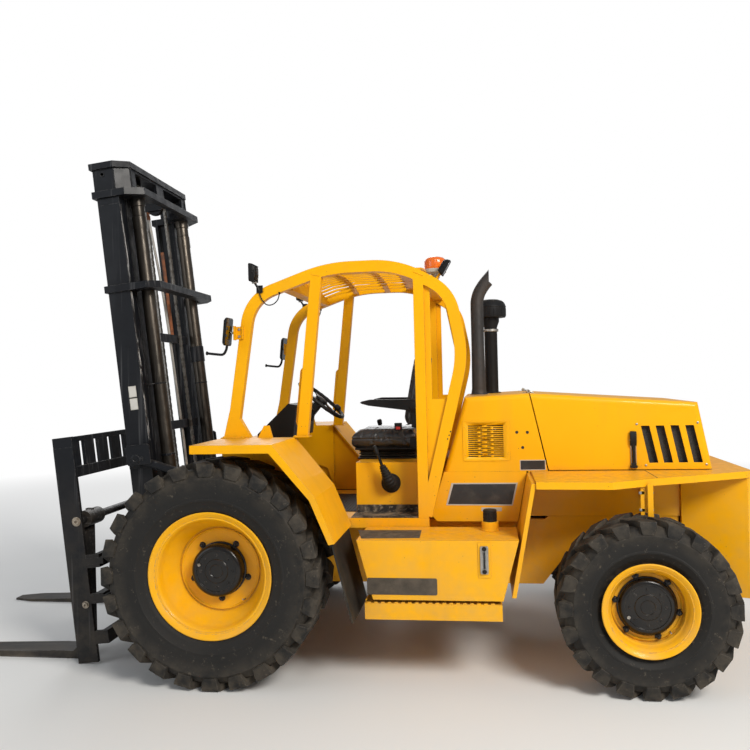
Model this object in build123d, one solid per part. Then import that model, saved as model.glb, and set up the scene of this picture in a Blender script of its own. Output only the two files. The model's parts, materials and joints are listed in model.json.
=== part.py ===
from build123d import *
import math
import os

# Rough-terrain pneumatic tyre forklift, with its mast leaning forward and its forks on the ground.
# Millimetres. X runs forward, Y to the left, Z up. Every X below is counted from the front axle,
# and the finished pieces are moved by shift_x, so that the origin lies on the ground under the
# middle of the whole length.

# Wheels and axles
wheelbase = 2380.0
front_tyre_r = 637.0
front_tyre_w = 445.0
front_tyre_y = 947.0
front_seat_r = 318.0
front_flange_r = 360.0
front_bead_half = 175.0
rear_tyre_r = 472.0
rear_seat_r = 216.0
rear_flange_r = 250.0
rear_bead_half = 142.0
rear_tyre_w = 308.0
front_disc = 13.0
front_disc_r = 237.0
front_drum = 91.0
rear_disc = 56.0
rear_disc_r = 186.0
rear_drum = 88.0
rear_tyre_y = 951.0
front_lugs = 24
rear_lugs = 20
lug_h_front = 38.0
lug_h_rear = 32.0
kingpin_y = 800.0
steer_arm = 110.0
rim_sides = 32
drum_r = 150.0
lug_lean = 1.1
lug_gap = 12.0
yoke_slot = 16.0

# Frame
rail_y = 400.0
rail_t = 40.0
rail_low = 430.0
rail_high = 830.0
axle_r = 112.0
ear_r = 55.0
arch_beam_z = 960.0
arch_beam_low = 660.0
axle_boss_up = 150.0
engine_low = 640.0

# Mast, in its own upright frame: a is forward from the rails' front face, s is along the rails
mast_lean = 6.0
mast_foot_x = 612.7
outer_y = 540.0
outer_in = 455.0
rail_depth = 150.0
flange_t = 20.0
web_t = 18.0
outer_s0 = 110.0
outer_s1 = 2905.0
inner_y = 445.0
inner_in = 365.0
inner_s0 = 130.0
inner_s1 = 2950.0
roller_r = 54.0
foot_tie_s0 = 150.0
foot_tie_s1 = 270.0
inner_ties = (300.0, 1395.0, 2015.0)
tie_h = 60.0
head_h = 190.0
cyl_y = 385.0
cyl_a = -204.0
cyl_r = 44.0
cyl_bore = 34.0
lift_rod_r = 28.0
cyl_s0 = 130.0
cyl_s1 = 2830.0
pivot_a = -320.0
pivot_s = 480.0
pivot_r = 35.0

# Tilt cylinders
tilt_y = 590.0
tilt_eye_x = 660.0
tilt_eye_z = 1245.0
tilt_pin_x = -300.0
tilt_pin_z = 933.0
tilt_pin_r = 22.0
tilt_barrel_r = 50.0
tilt_rod_r = 27.0
tilt_barrel_len = 640.0

# Carriage and forks
carriage_y = 790.0
side_plate_t = 25.0
side_a0 = 236.0
side_a1 = 366.0
side_s0 = 40.0
side_s1 = 1375.0
shaft_r = 25.0
shaft_a = 268.0
shaft_s = 913.0
stop_rod_r = 17.0
stop_rod_a = 272.0
stop_rod_s = 398.0
fork_y = 610.0
fork_w = 180.0
fork_t = 48.0
fork_len = 1220.0
fork_tip_t = 14.0
eye_r = 52.0
grille_slats = 9
grille_pitch = 160.0

# Body
floor_z = 872.0
deck_z = 1340.0
deck_rear = -110.0
lever_z = 1190.0
cab_y = 614.0
guard_w = 50.0
guard_d = 70.0
fender_out = 1170.0
fender_in = 618.0
fender_z = 1372.0
plate_t = 10.0
tank_out = 1020.0
tank_in = 620.0
tank_top = 820.0
tank_low = 490.0
hood_half = 490.0
hood_t = 6.0
deck_top = 1136.0
deck_t = 40.0
rear_x = -3075.0
run_gap = 0.3

# Chains
sheave_r = 62.0
sheave_a = -85.0
sheave_s = inner_s1 + 105.0
chain_y = 200.0
chain_w = 33.0
chain_t = 16.0
chain_front_s = 795.0
anchor_s = 290.0

# Mast directions
lean = math.radians(mast_lean)


def mast_point(a, s):
    """World X and Z of a point given in the mast's upright frame."""
    return mast_foot_x + s * math.sin(lean) + a * math.cos(lean), s * math.cos(lean) - a * math.sin(lean)


shaft_x, shaft_z = mast_point(shaft_a, shaft_s)
shank_rear = shaft_x + 21.0
fork_heel_x = shank_rear + fork_t
fork_tip_x = fork_heel_x + fork_len
shift_x = -(fork_tip_x + rear_x) / 2.0


def block(x0, x1, y0, y1, z0, z1):
    """A box between two corners."""
    return Pos((x0 + x1) / 2, (y0 + y1) / 2, (z0 + z1) / 2) * Box(x1 - x0, y1 - y0, z1 - z0)


def rod_y(x, z, y0, y1, r):
    """A round bar along Y."""
    return Pos(x, (y0 + y1) / 2, z) * Rot(90, 0, 0) * Cylinder(r, y1 - y0)


def rod_between(p, q, r):
    """A round bar from one point to another."""
    start = Vector(*p)
    run = Vector(*q) - start
    return extrude(Plane(origin=start, z_dir=run.normalized()) * Circle(r), run.length)


def plate_xz(points, y0, y1, radii=None):
    """A flat plate standing in XZ, from its outline, between two Y values."""
    line = Polyline(*points, close=True)
    if radii:
        line = FilletPolyline(*points, radius=radii, close=True)
    face = make_face(line)
    solid = extrude(Plane.XZ * face, -(y1 - y0))
    return Pos(0, y0, 0) * solid


def plate_xy(points, z0, z1):
    """A flat plate lying in XY, from its outline, between two heights."""
    return Pos(0, 0, z0) * extrude(make_face(Polyline(*points, close=True)), z1 - z0)


def plate_yz(points, x0, x1):
    """A flat plate standing in YZ, from its outline, between two X values."""
    return Pos(x0, 0, 0) * extrude(Plane.YZ * make_face(Polyline(*points, close=True)), x1 - x0)


def both(shape):
    """A piece and its mirror image on the other side."""
    return [shape, mirror(shape, about=Plane.XZ)]


def on_mast(shape):
    """Moves a piece from the mast's upright frame to where the leaning mast is."""
    return Pos(mast_foot_x, 0, 0) * Rot(0, mast_lean, 0) * shape


def turned(profile, y, z, x=0.0):
    """A wheel-like solid, from a closed profile of (radius, offset along Y) points."""
    face = make_face(Polyline(*[(off, r) for r, off in profile], close=True))
    solid = revolve(Plane.YZ * face, Axis.Y)
    return Pos(x, y, z) * solid


def join(pieces):
    """One solid from touching or overlapping pieces."""
    whole = pieces[0]
    for piece in pieces[1:]:
        whole = whole + piece
    return whole


nodes = {}


def keep(name, shapes):
    """Stores a node, made of one solid or of several that do not touch."""
    if not isinstance(shapes, list):
        shapes = [shapes]
    nodes[name] = shapes


# Main frame: two plates, their cross members, the mast's ears and the tilt cylinders' brackets
def main_frame():
    px, pz = mast_point(pivot_a, pivot_s)
    inside = rail_y - rail_t
    outline = [
        (px, pz - ear_r), (px, pz + ear_r), (150, rail_high), (-1900, rail_high), (-2050, arch_beam_z),
        (-2690, arch_beam_z), (-2690, arch_beam_low), (-2060, arch_beam_low), (-1880, rail_low),
        (160, rail_low)]
    members = [
        (215, 255, 480, 760), (-420, -380, 470, 790), (-1290, -1250, 470, 790), (-2690, -2640, 720, 900),
        (-1560, -1500, 560, engine_low - run_gap), (-1870, -1810, 560, engine_low - run_gap)]
    pieces = [block(x0, x1, -inside - 1, inside + 1, z0, z1) for x0, x1, z0, z1 in members]
    for side in (1, -1):
        pieces.append(plate_xz(outline, *sorted((side * inside, side * rail_y))))
        pieces.append(rod_y(px, pz, *sorted((side * inside, side * (outer_in - 6))), ear_r))
        base = (side * (rail_y - 1), side * (tilt_y - 62))
        pieces.append(block(tilt_pin_x - 60, tilt_pin_x + 60, *sorted(base), 720, tilt_pin_z))
        pieces.append(rod_y(tilt_pin_x, tilt_pin_z, *sorted(base), 60))
        # ear outside the tilt cylinder's eye is the pin's washer
        pin = (side * (tilt_y - 63), side * (tilt_y + 36))
        pieces.append(rod_y(tilt_pin_x, tilt_pin_z, *sorted(pin), tilt_pin_r))
    # hangers and pin that the steer axle swings on
    pin_z = rear_tyre_r + axle_boss_up
    for x in (-wheelbase - 136, -wheelbase + 100 + run_gap):
        pieces.append(block(x, x + 35, -inside - 1, inside + 1, pin_z - 60, pin_z + 230))
    pieces.append(rod_between((-wheelbase - 130, 0, pin_z), (-wheelbase + 130, 0, pin_z), 30))
    frame = join(pieces)
    frame = frame - rod_y(px, pz, -outer_y, outer_y, pivot_r + 0.05)
    return frame - rod_y(0, front_tyre_r, -outer_y, outer_y, axle_r + run_gap)


# Drive axle: a tapering case, its middle bulge and the flanges that the wheels turn on
def front_axle():
    case = [(0, -700), (95, -700), (95, -540), (axle_r, -440), (axle_r, -330), (130, -250), (130, 250),
            (axle_r, 330), (axle_r, 440), (95, 540), (95, 700), (0, 700)]
    bulge = [(0, -140), (150, -140), (200, -70), (200, 70), (150, 140), (0, 140)]
    axle = turned(case, 0, front_tyre_r) + turned(bulge, 0, front_tyre_r)
    for side in (1, -1):
        axle = axle + rod_y(0, front_tyre_r, *sorted((side * 698, side * 955)), 72.2)
    return axle


# Steer axle: a box beam with kingpin ends and the open cylinder between its plates
def rear_axle():
    z = rear_tyre_r
    beam = block(-wheelbase - 100, -wheelbase + 100, -660, 660, z + 70, z + 110)
    beam = beam + block(-wheelbase - 100, -wheelbase + 100, -660, 660, z - 110, z - 70)
    beam = beam + block(-wheelbase + 60, -wheelbase + 100, -660, 660, z - 71, z + 71)
    boss_z = z + axle_boss_up
    boss = rod_between((-wheelbase - 100, 0, boss_z), (-wheelbase + 100, 0, boss_z), 75)
    beam = beam + boss - rod_between((-wheelbase - 101, 0, boss_z), (-wheelbase + 101, 0, boss_z), 30.05)
    for side in (1, -1):
        y0, y1 = sorted((side * 659, side * kingpin_y))
        for z0 in (z + 70, z - 110):
            beam = beam + block(-wheelbase - 60, -wheelbase + 60, y0, y1, z0, z0 + 40)
            beam = beam + Pos(-wheelbase, side * kingpin_y, z0 + 20) * Cylinder(60, 40)
        beam = beam - Pos(-wheelbase, side * kingpin_y, z) * Cylinder(25.05, 300)
    barrel = rod_y(-wheelbase - 40, z, -260, 260, 55) - rod_y(-wheelbase - 40, z, -261, 261, 30.1)
    mounts = [block(-wheelbase - 90, -wheelbase + 61, y - 30, y + 30, z - 71, z - 50) for y in (-180, 180)]
    return join([beam, barrel] + mounts)


# A knuckle: kingpin, block between the beam's plates, stub axle, and the steering arm with its pin
def knuckle(side):
    z = rear_tyre_r
    y = side * kingpin_y
    pin_x = -wheelbase - steer_arm
    pin = Pos(-wheelbase, y, z) * Cylinder(25, 224)
    body = Pos(-wheelbase, y, z) * Cylinder(42, 130)
    y0, y1 = sorted((y, side * (kingpin_y + 60)))
    hub = block(-wheelbase - 42, -wheelbase + 42, y0, y1, z - 62, z + 62)
    y0, y1 = sorted((side * (kingpin_y + 58), side * (kingpin_y + 202.7)))
    stub = rod_y(-wheelbase, z, y0, y1, 59.7)
    arm = block(pin_x, -wheelbase, y - 25, y + 25, z + 22, z + 50)
    arm = arm + Pos(pin_x, y, z + 36) * Cylinder(25, 28)
    arm = arm + Pos(pin_x, y, z + 2) * Cylinder(12, 50)
    return join([body, pin, hub, stub, arm])


# Steering rod through its barrel, with a slotted yoke at each end for the arm's pin
def steer_rod():
    z = rear_tyre_r
    rod_x = -wheelbase - 40
    pin_x = -wheelbase - steer_arm
    reach = steer_arm * (1 - math.cos(math.radians(50)))
    wall = yoke_slot + 14
    rod = rod_y(rod_x, z, -420, 420, 30)
    for side in (1, -1):
        y = side * kingpin_y
        end = block(rod_x - 30, rod_x + 30, *sorted((side * 400, side * 440)), z - 32, z + 32)
        strut = [(rod_x - 30, side * 401), (rod_x + 30, side * 401), (pin_x + 45, y - side * 28),
                 (pin_x - 15, y - side * 28)]
        yoke = block(pin_x - 22, pin_x + reach + 22, y - wall, y + wall, z - 18, z + 8)
        slot = block(pin_x - 13, pin_x + reach + 13, y - yoke_slot, y + yoke_slot, z - 20, z + 10)
        rod = rod + end + plate_xy(strut, z - 18, z + 8) + yoke - slot
    return rod


def many_sided(profile, sides):
    """A turned body with flat sides, from (offset along Y, radius to the flats) points in order."""
    spread = 1 / math.cos(math.pi / sides)
    turns = [2 * math.pi * k / sides for k in range(sides)]
    corners = [(spread * math.cos(t), spread * math.sin(t)) for t in turns]
    rings = [[(r * across, off, r * up) for across, up in corners] for off, r in profile]
    faces = [Face(Wire.make_polygon(rings[0])), Face(Wire.make_polygon(rings[-1]))]
    for low, high in zip(rings, rings[1:]):
        for k in range(sides):
            faces.append(Face(Wire.make_polygon([low[k - 1], low[k], high[k], high[k - 1]])))
    return Solid(Shell(faces))


def mirrored(profile):
    """A profile of (offset, radius) points for the outer half, with its mirror image before it."""
    return [(-off, r) for off, r in reversed(profile)] + profile


# A rim: barrel with two flanges, the cone down to the disc, and the hub drum that stands out of it
def rim(seat, flange, bead, disc, disc_r, drum, hole_r, y, z, x, side):
    outer = [(bead + 1, seat), (bead + 3, flange - 14), (bead + 11, flange), (bead + 18, flange - 5)]
    inside = seat - 12
    lip = bead + 18
    wheel = many_sided(mirrored(outer), rim_sides)
    dish = [(disc, disc_r), (bead * 0.7, inside - 8), (bead, inside), (lip + 1, flange - 22)]
    wheel = wheel - many_sided(dish, rim_sides)
    behind = many_sided([(-lip - 1, flange - 22), (-bead, inside), (bead * 0.6, inside)], rim_sides)
    core = many_sided([(disc - 30, disc_r + 6), (bead * 0.6 + 1, inside + 1)], rim_sides)
    wheel = wheel - (behind - core)
    wheel = wheel - rod_y(0, 0, disc - 31, disc + 1, hole_r)
    wheel = wheel + many_sided([(disc - 4, drum_r), (drum - 13, drum_r), (drum, drum_r - 10)], rim_sides)
    return Pos(x, side * y, z) * (wheel if side > 0 else mirror(wheel, about=Plane.XZ))


def lug_ring(count, r0, r1, half_w, arc_deg):
    """Shoulder lugs of both edges of a tread, staggered, each a bar that runs forward to the middle."""
    lugs = []
    step = 360.0 / count
    wide = r1 * math.radians(arc_deg)
    top = math.sqrt(r1 ** 2 - (lug_lean * wide) ** 2)
    for row in (1, -1):
        pts = [(wide / 2, row * half_w), (-wide / 2, row * half_w),
               ((lug_lean - 0.85) * wide, row * lug_gap), (lug_lean * wide, row * lug_gap)]
        bar = Pos(0, 0, r0) * extrude(make_face(Polyline(*pts, close=True)), top - r0)
        for k in range(count):
            lugs.append(Rot(0, step * (k + (0 if row > 0 else 0.5)), 0) * bar)
    return lugs


# A tyre: its carcass sits on the rim's seat between the flanges, with the lugs fused on
def tyre(outer_r, width, seat_r, flange_r, bead_half, lug_h, count, y, x, side, arc_deg):
    base = outer_r - lug_h
    half = width / 2
    shoulder = flange_r + 0.6 * (base - flange_r)
    carcass = many_sided(mirrored([(half - 36, base), (half, shoulder)]), count)
    for end in (1, -1):
        dish = [(end * bead_half, flange_r - 6), (end * (half + 1), shoulder - 12)]
        carcass = carcass - many_sided(dish[::end], count)
    bead_hole = many_sided([(-half, seat_r + run_gap), (half, seat_r + run_gap)], rim_sides)
    solid = (carcass - bead_hole).fuse(*lug_ring(count, base - 30, outer_r, half - 8, arc_deg))
    return Pos(x, side * y, outer_r) * (solid if side > 0 else mirror(solid, about=Plane.XZ))


# Outer mast: two C rails, ties at the foot, the middle and the top, ears and tilt brackets
def outer_mast():
    parts = []
    for side in (1, -1):
        def span(y0, y1):
            return sorted((side * y0, side * y1))
        parts.append(block(-rail_depth, 0, *span(outer_y - web_t, outer_y), outer_s0, outer_s1))
        parts.append(block(-flange_t, 0, *span(outer_in, outer_y), outer_s0, outer_s1))
        parts.append(block(-rail_depth, -rail_depth + flange_t, *span(outer_in, outer_y), outer_s0, outer_s1))
        # rollers at the top, which the inner rail runs on
        stub = rod_y(0, 0, *span(inner_y - 24, outer_y - web_t + 1), roller_r)
        parts.append(Pos(-rail_depth / 2, 0, 2800) * stub)
        # plates behind the rail: mast pivot ear, cylinder foot
        ear = [(-rail_depth + 1, 250), (-rail_depth + 1, 760),
               (pivot_a, pivot_s + ear_r), (pivot_a, pivot_s - ear_r)]
        parts.append(plate_xz(ear, *span(outer_in, outer_y - 20)))
        parts.append(rod_y(pivot_a, pivot_s, *span(outer_in, outer_y - 20), ear_r))
        foot = span(cyl_y - 52, outer_in + 20)
        parts.append(block(cyl_a - 52, -rail_depth + 1, *foot, outer_s0, outer_s0 + 18))
        # tilt bracket on the rail's outer side
        parts.append(block(-rail_depth + 6, -6, *span(outer_y - 1, tilt_y - 34), 1180, 1330))
        # pin through the tilt rod's eye
        ea, es = tilt_eye_local
        parts.append(rod_y(ea, es, *span(tilt_y - 40, tilt_y + 30), tilt_pin_r))
        # wrap of the middle tie round the rail
        parts.append(block(-225, 4, *span(outer_y - 1, outer_y + 20), 2330, 2375))
        parts.append(block(0, 16, *span(outer_in, outer_y + 20), 2330, 2375))
    half_tie = [(-225, outer_y + 20), (-225, 500), (-262, 440)]
    back_tie = [(-333, 480), (-270, outer_y + 20)]
    middle = half_tie + [(a, -y) for a, y in reversed(half_tie)]
    middle = middle + [(a, -y) for a, y in reversed(back_tie)] + back_tie
    parts.append(plate_xy(middle, 2330, 2375))
    for side in (1, -1):
        y0, y1 = sorted((side * 455, side * (outer_y + 20)))
        parts.append(block(-262, -rail_depth + 1, y0, y1, 2330, 2375))
    # tie at the foot, behind the cylinders
    parts.append(block(-283, -256, -outer_in - 29, outer_in + 29, foot_tie_s0, foot_tie_s1))
    for side in (1, -1):
        y0, y1 = sorted((side * (inner_y + 6), side * (outer_in + 30)))
        parts.append(block(-283, -rail_depth + 1, y0, y1, foot_tie_s0, foot_tie_s1))
        # pin that the mast tilts on
        pin = sorted((side * (rail_y - rail_t), side * (outer_y - 20)))
        parts.append(rod_y(pivot_a, pivot_s, *pin, pivot_r))
    # anchors of the chains' rear runs, on the tie below them
    for y in (-chain_y, chain_y):
        parts.append(block(-257, sheave_a - sheave_r - run_gap, y - 28, y + 28, anchor_s - 50, anchor_s))
    return on_mast(join(parts))


def lift_cylinders():
    barrel = Cylinder(cyl_r, cyl_s1 - cyl_s0) - Pos(0, 0, 20) * Cylinder(cyl_bore, cyl_s1 - cyl_s0)
    collar = Cylinder(cyl_r + 3, 80) - Cylinder(lift_rod_r + 0.1, 90)
    collar = Pos(0, 0, (cyl_s1 - cyl_s0) / 2 - 40) * collar
    barrel = Pos(0, 0, (cyl_s1 + cyl_s0) / 2) * (barrel + collar)
    return [on_mast(Pos(cyl_a, side * cyl_y, 0) * barrel) for side in (1, -1)]


# Inner mast: two I rails, ties, rollers at the foot and the deep crosshead on top
def inner_mast():
    parts = []
    for side in (1, -1):
        def span(y0, y1):
            return sorted((side * y0, side * y1))
        parts.append(block(-rail_depth, 0, *span(398, 412), inner_s0, inner_s1))
        parts.append(block(-flange_t, 0, *span(inner_in, inner_y), inner_s0, inner_s1))
        parts.append(block(-rail_depth, -rail_depth + flange_t, *span(inner_in, inner_y), inner_s0, inner_s1))
        stub = rod_y(0, 0, *span(411, outer_y - web_t - 6), roller_r)
        parts.append(Pos(-rail_depth / 2, 0, 210) * stub)
        # lift rod, fixed to the crosshead
        lift_rod = rod_between((0, 0, 640), (0, 0, inner_s1 + 60), lift_rod_r)
        parts.append(Pos(cyl_a, side * cyl_y, 0) * lift_rod)
    top = [(24, outer_y + 20), (-140, outer_y + 20), (-228, 480), (-228, -480), (-140, -outer_y - 20),
           (24, -outer_y - 20), (24, -300), (-30, -250), (-30, 250), (24, 300)]
    low = [(24, outer_y + 20), (-200, outer_y + 20), (-303, 480), (-303, -480), (-200, -outer_y - 20),
           (24, -outer_y - 20), (24, -inner_in), (-160, -inner_in), (-160, -270), (-255, -230),
           (-255, 230), (-160, 270), (-160, inner_in), (24, inner_in)]
    parts.append(plate_xy(top, inner_s1 + head_h, inner_s1 + head_h + 40))
    parts.append(plate_xy(low, inner_s1, inner_s1 + 45))
    # wall of the crosshead round three sides, with two windows at its rear
    outside = [(10, outer_y), (-132, outer_y), (-218, 470), (-218, -470), (-132, -outer_y), (10, -outer_y)]
    inside = [(40, outer_y - web_t), (-126, outer_y - web_t), (-200, 456), (-200, -456),
              (-126, -outer_y + web_t), (40, -outer_y + web_t)]
    wall = plate_xy(outside, inner_s1 + 44, inner_s1 + head_h + 1)
    wall = wall - plate_xy(inside, inner_s1 + 40, inner_s1 + head_h + 5)
    for side in (1, -1):
        window = sorted((side * 60, side * 400))
        wall = wall - block(-230, -190, *window, inner_s1 + 60, inner_s1 + head_h - 15)
    parts.append(wall)
    # ties between the rails
    for s0 in inner_ties:
        tie = block(-rail_depth + 8, -rail_depth + flange_t, -inner_in - 1, inner_in + 1, s0, s0 + tie_h)
        parts.append(tie)
    # sheave shafts under the top plate
    for y in (-200, 200):
        parts.append(block(-150, -20, y - 40, y - 28, inner_s1 + 60, inner_s1 + head_h + 1))
        parts.append(block(-150, -20, y + 28, y + 40, inner_s1 + 60, inner_s1 + head_h + 1))
        parts.append(rod_y(sheave_a, sheave_s, y - 29, y + 29, 20))
        parts.append(rod_y(sheave_a, sheave_s, y - 18, y + 18, sheave_r))
        for flange in (-20, 20):
            parts.append(rod_y(sheave_a, sheave_s, y + flange - 3, y + flange + 3, sheave_r + 10))
    return on_mast(join(parts))


# Lift chains: the rear runs from their anchors up to the sheaves, the arcs over them, the front runs
def chain_front():
    x0 = sheave_a + sheave_r + run_gap
    return [on_mast(block(x0, x0 + chain_t, y - chain_w / 2, y + chain_w / 2, chain_front_s, sheave_s))
            for y in (-chain_y, chain_y)]


def chain_over():
    arcs = []
    inner_r = sheave_r + run_gap
    for y in (-chain_y, chain_y):
        ring = rod_y(sheave_a, sheave_s, y - chain_w / 2, y + chain_w / 2, inner_r + chain_t)
        ring = ring - rod_y(sheave_a, sheave_s, y - chain_w, y + chain_w, inner_r)
        lower = block(sheave_a - 200, sheave_a + 200, y - chain_w, y + chain_w, sheave_s - 200, sheave_s)
        arcs.append(on_mast(ring - lower))
    return arcs


def chain_rear():
    x1 = sheave_a - sheave_r - run_gap
    return [on_mast(block(x1 - chain_t, x1, y - chain_w / 2, y + chain_w / 2, anchor_s, sheave_s))
            for y in (-chain_y, chain_y)]


# Carriage: plates and rollers inside the inner rails, cross bars and the two side plates
def carriage():
    parts = []
    for side in (1, -1):
        def span(y0, y1):
            return sorted((side * y0, side * y1))
        parts.append(block(-125, 190, *span(330, 352), 150, 860))
        for s in (230, 760):
            parts.append(Pos(-rail_depth / 2, 0, s) * rod_y(0, 0, *span(351, 392), roller_r))
        outline = [(side_a0, side_s0), (side_a0, side_s1), (side_a1, side_s1), (side_a1, side_s0)]
        plate = plate_xz(outline, *span(carriage_y - side_plate_t, carriage_y))
        parts.append(plate)
        parts.append(block(125, side_a0 + 1, *span(330, carriage_y), 640, 680))
        parts.append(block(125, side_a0 + 1, *span(330, carriage_y), 410, 450))
    half = carriage_y - 1
    for a0, a1, s0, s1 in ((150, 190, 620, 700), (150, 190, 400, 460), (150, 190, 150, 230)):
        parts.append(block(a0, a1, -half, half, s0, s1))
    for side in (1, -1):
        y0, y1 = sorted((side * (half - 24), side * half))
        for s0, s1 in ((620, 700), (400, 460), (150, 230)):
            parts.append(block(180, side_a0 + 1, y0, y1, s0, s1))
    # chain anchors
    for y in (-chain_y, chain_y):
        parts.append(block(-20, 160, y - 26, y + 26, 640, 690))
        parts.append(block(-24, 6, y - 26, y + 26, 689, chain_front_s))
    parts.append(block(-20, 20, -332, 332, 640, 690))
    # shaft that the forks hang on, and the rod that their shanks lean on
    parts.append(rod_y(shaft_a, shaft_s, -half, half, shaft_r))
    parts.append(rod_y(stop_rod_a, stop_rod_s, -half, half, stop_rod_r))
    return on_mast(join(parts))


# Load backrest: top and lower bar with upright slats
def backrest():
    half = carriage_y - side_plate_t
    bars = [block(side_a0 + 10, side_a0 + 40, -half, half, 1340, 1372),
            block(side_a0 + 10, side_a0 + 40, -half, half, 1120, 1185)]
    for k in range(grille_slats):
        y = (k - (grille_slats - 1) / 2) * grille_pitch
        bars.append(block(side_a0 + 12, side_a0 + 36, y - 30, y + 30, 1184, 1341))
    return on_mast(join(bars))


# A fork: eye round the shaft, upright shank, heel and tapering blade
def fork(side):
    y0, y1 = side * fork_y - fork_w / 2, side * fork_y + fork_w / 2
    outline = [
        (shank_rear, shaft_z + 40), (shank_rear, fork_t + 30), (shank_rear + 30, 0), (fork_tip_x, 0),
        (fork_tip_x, fork_tip_t), (fork_heel_x + 160, fork_t), (fork_heel_x + 22, fork_t),
        (fork_heel_x, fork_t + 22), (fork_heel_x, shaft_z + 20)]
    arm = plate_xz(outline, y0, y1)
    tip = [(shank_rear - 5, y0 - 1), (fork_tip_x - 160, y0 - 1), (fork_tip_x + 1, y0 + 45),
           (fork_tip_x + 1, y1 - 45), (fork_tip_x - 160, y1 + 1), (shank_rear - 5, y1 + 1)]
    arm = arm & plate_xy(tip, -1, 2000)
    eye = rod_y(shaft_x, shaft_z, y0, y1, eye_r)
    return arm + eye - rod_y(shaft_x, shaft_z, y0 - 1, y1 + 1, shaft_r + 0.1)


tilt_angle = math.degrees(math.atan2(tilt_eye_z - tilt_pin_z, tilt_eye_x - tilt_pin_x))
tilt_run = math.hypot(tilt_eye_z - tilt_pin_z, tilt_eye_x - tilt_pin_x)
tilt_eye_local = (
    (tilt_eye_x - mast_foot_x) * math.cos(lean) - tilt_eye_z * math.sin(lean),
    (tilt_eye_x - mast_foot_x) * math.sin(lean) + tilt_eye_z * math.cos(lean))
eye_play = 4.0


def along_tilt(shape, side):
    """Lays a piece made along +X onto the tilt cylinder's line, from its rear pin."""
    return Pos(tilt_pin_x, side * tilt_y, tilt_pin_z) * Rot(0, -tilt_angle, 0) * shape


def tilt_barrel(side):
    tube = Pos(tilt_barrel_len / 2 + 60, 0, 0) * Rot(0, 90, 0) * Cylinder(tilt_barrel_r, tilt_barrel_len)
    bore = Rot(0, 90, 0) * Cylinder(tilt_barrel_r - 12, tilt_barrel_len - 60)
    bore = Pos(tilt_barrel_len / 2 + 120, 0, 0) * bore
    mouth = Pos(tilt_barrel_len, 0, 0) * Rot(0, 90, 0) * Cylinder(tilt_rod_r + 0.1, 200)
    eye = rod_y(0, 0, -28, 28, 48) + block(0, 80, -28, 28, -30, 30)
    barrel = tube - bore
    gland = Pos(tilt_barrel_len + 40, 0, 0) * Rot(0, 90, 0) * Cylinder(tilt_barrel_r + 4, 60)
    barrel = barrel + gland + eye
    barrel = barrel - mouth - rod_y(0, 0, -40, 40, tilt_pin_r + 0.05)
    return along_tilt(barrel, side)


def tilt_rod(side):
    rod = rod_between((tilt_barrel_len - 330, 0, 0), (tilt_run - 30, 0, 0), tilt_rod_r)
    rod = rod + rod_y(tilt_run, 0, -20, 20, 46)
    rod = rod - rod_y(tilt_run, 0, -40, 40, tilt_pin_r + eye_play)
    return along_tilt(rod, side)


# Front fenders: a flat top, two bends and the drop behind the wheel, with a turned-down edge
def fender():
    top = [(85, fender_z), (-385, fender_z), (-622, 1080), (-725, 830)]
    under = [(-725 + plate_t, 826), (-622 + plate_t + 1, 1074),
             (-385 + 5, fender_z - plate_t), (85, fender_z - plate_t)]
    skin = plate_xz(top + under, fender_in, fender_out)
    lip_under = [(-725 + 34, 822), (-622 + 32, 1064), (-385 + 18, fender_z - 48), (85, fender_z - 48)]
    lip = plate_xz(top + lip_under, fender_out - 8, fender_out)
    wall = [(85, fender_z - 5), (-380, fender_z - 5), (-380, 870), (-330, 1040), (85, 1200)]
    inner = plate_xz(wall, fender_in, fender_in + 8)
    lug = plate_xz([(-150, fender_z - 1), (-190, fender_z + 75), (-225, fender_z + 75), (-245, fender_z - 1)],
                   fender_in, fender_in + 12)
    return join([skin, lip, inner, lug])


def mudflap():
    flap = [(-694, 852), (-806, 395), (-816, 398), (-704, 852)]
    return plate_xz(flap, fender_in + 30, fender_out - 20)


def side_tank():
    face = [(-819, tank_top), (-1716, tank_top), (-1625, tank_low), (-907, tank_low)]
    body = plate_xz(face, tank_in, tank_out)
    tread = block(-1619, -859, 700, tank_out, 455, 470)
    front = block(-1619, -859, tank_out - 8, tank_out, 380, 470)
    ends = [block(-867, -859, 700, tank_out, 380, 470), block(-1619, -1611, 700, tank_out, 380, 470)]
    hangers = [block(x, x + 60, 700, 712, 380, 500) for x in (-1000, -1560)]
    lugs = [block(x, x + 60, rail_y, tank_in + 1, 640, 700) for x in (-1000, -1600)]
    return join([body, tread, front] + ends + hangers + lugs)


# Floor: sill, tread plate, and the risers that carry it
def floor():
    well = rail_y - 5
    plate = block(-1200, -400, -cab_y, cab_y, floor_z - 12, floor_z)
    plate = plate + block(-401, deck_rear, -well, well, floor_z - 12, floor_z)
    deck = block(deck_rear - 10, 60, -fender_in, fender_in, deck_z - 10, deck_z)
    riser = block(deck_rear - 10, deck_rear, -well, well, floor_z - 1, deck_z)
    sill = [block(-1200, -700, *sorted((side * (cab_y - 30), side * cab_y)), tank_top - 8, floor_z)
            for side in (1, -1)]
    feet = [block(x, x + 60, *sorted((side * (rail_y - 30), side * rail_y)), rail_high, floor_z - 11)
            for side in (1, -1) for x in (-700, -1180)]
    box = block(-1180, -727, -420, 420, floor_z - 1, 1190)
    console = block(-1000, -740, -520, -419, floor_z - 1, lever_z)
    return join([plate, deck, riser, box, console] + sill + feet)


def dash():
    outline = [(-50, deck_z), (-50, 1372), (-262, 1570), (-320, 1560), (-290, deck_z), (-120, deck_z)]
    column = rod_between((-285, 0, 1418), (-413.7, 0, 1570.7), 30)
    return plate_xz(outline, -300, 300) + column


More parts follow.
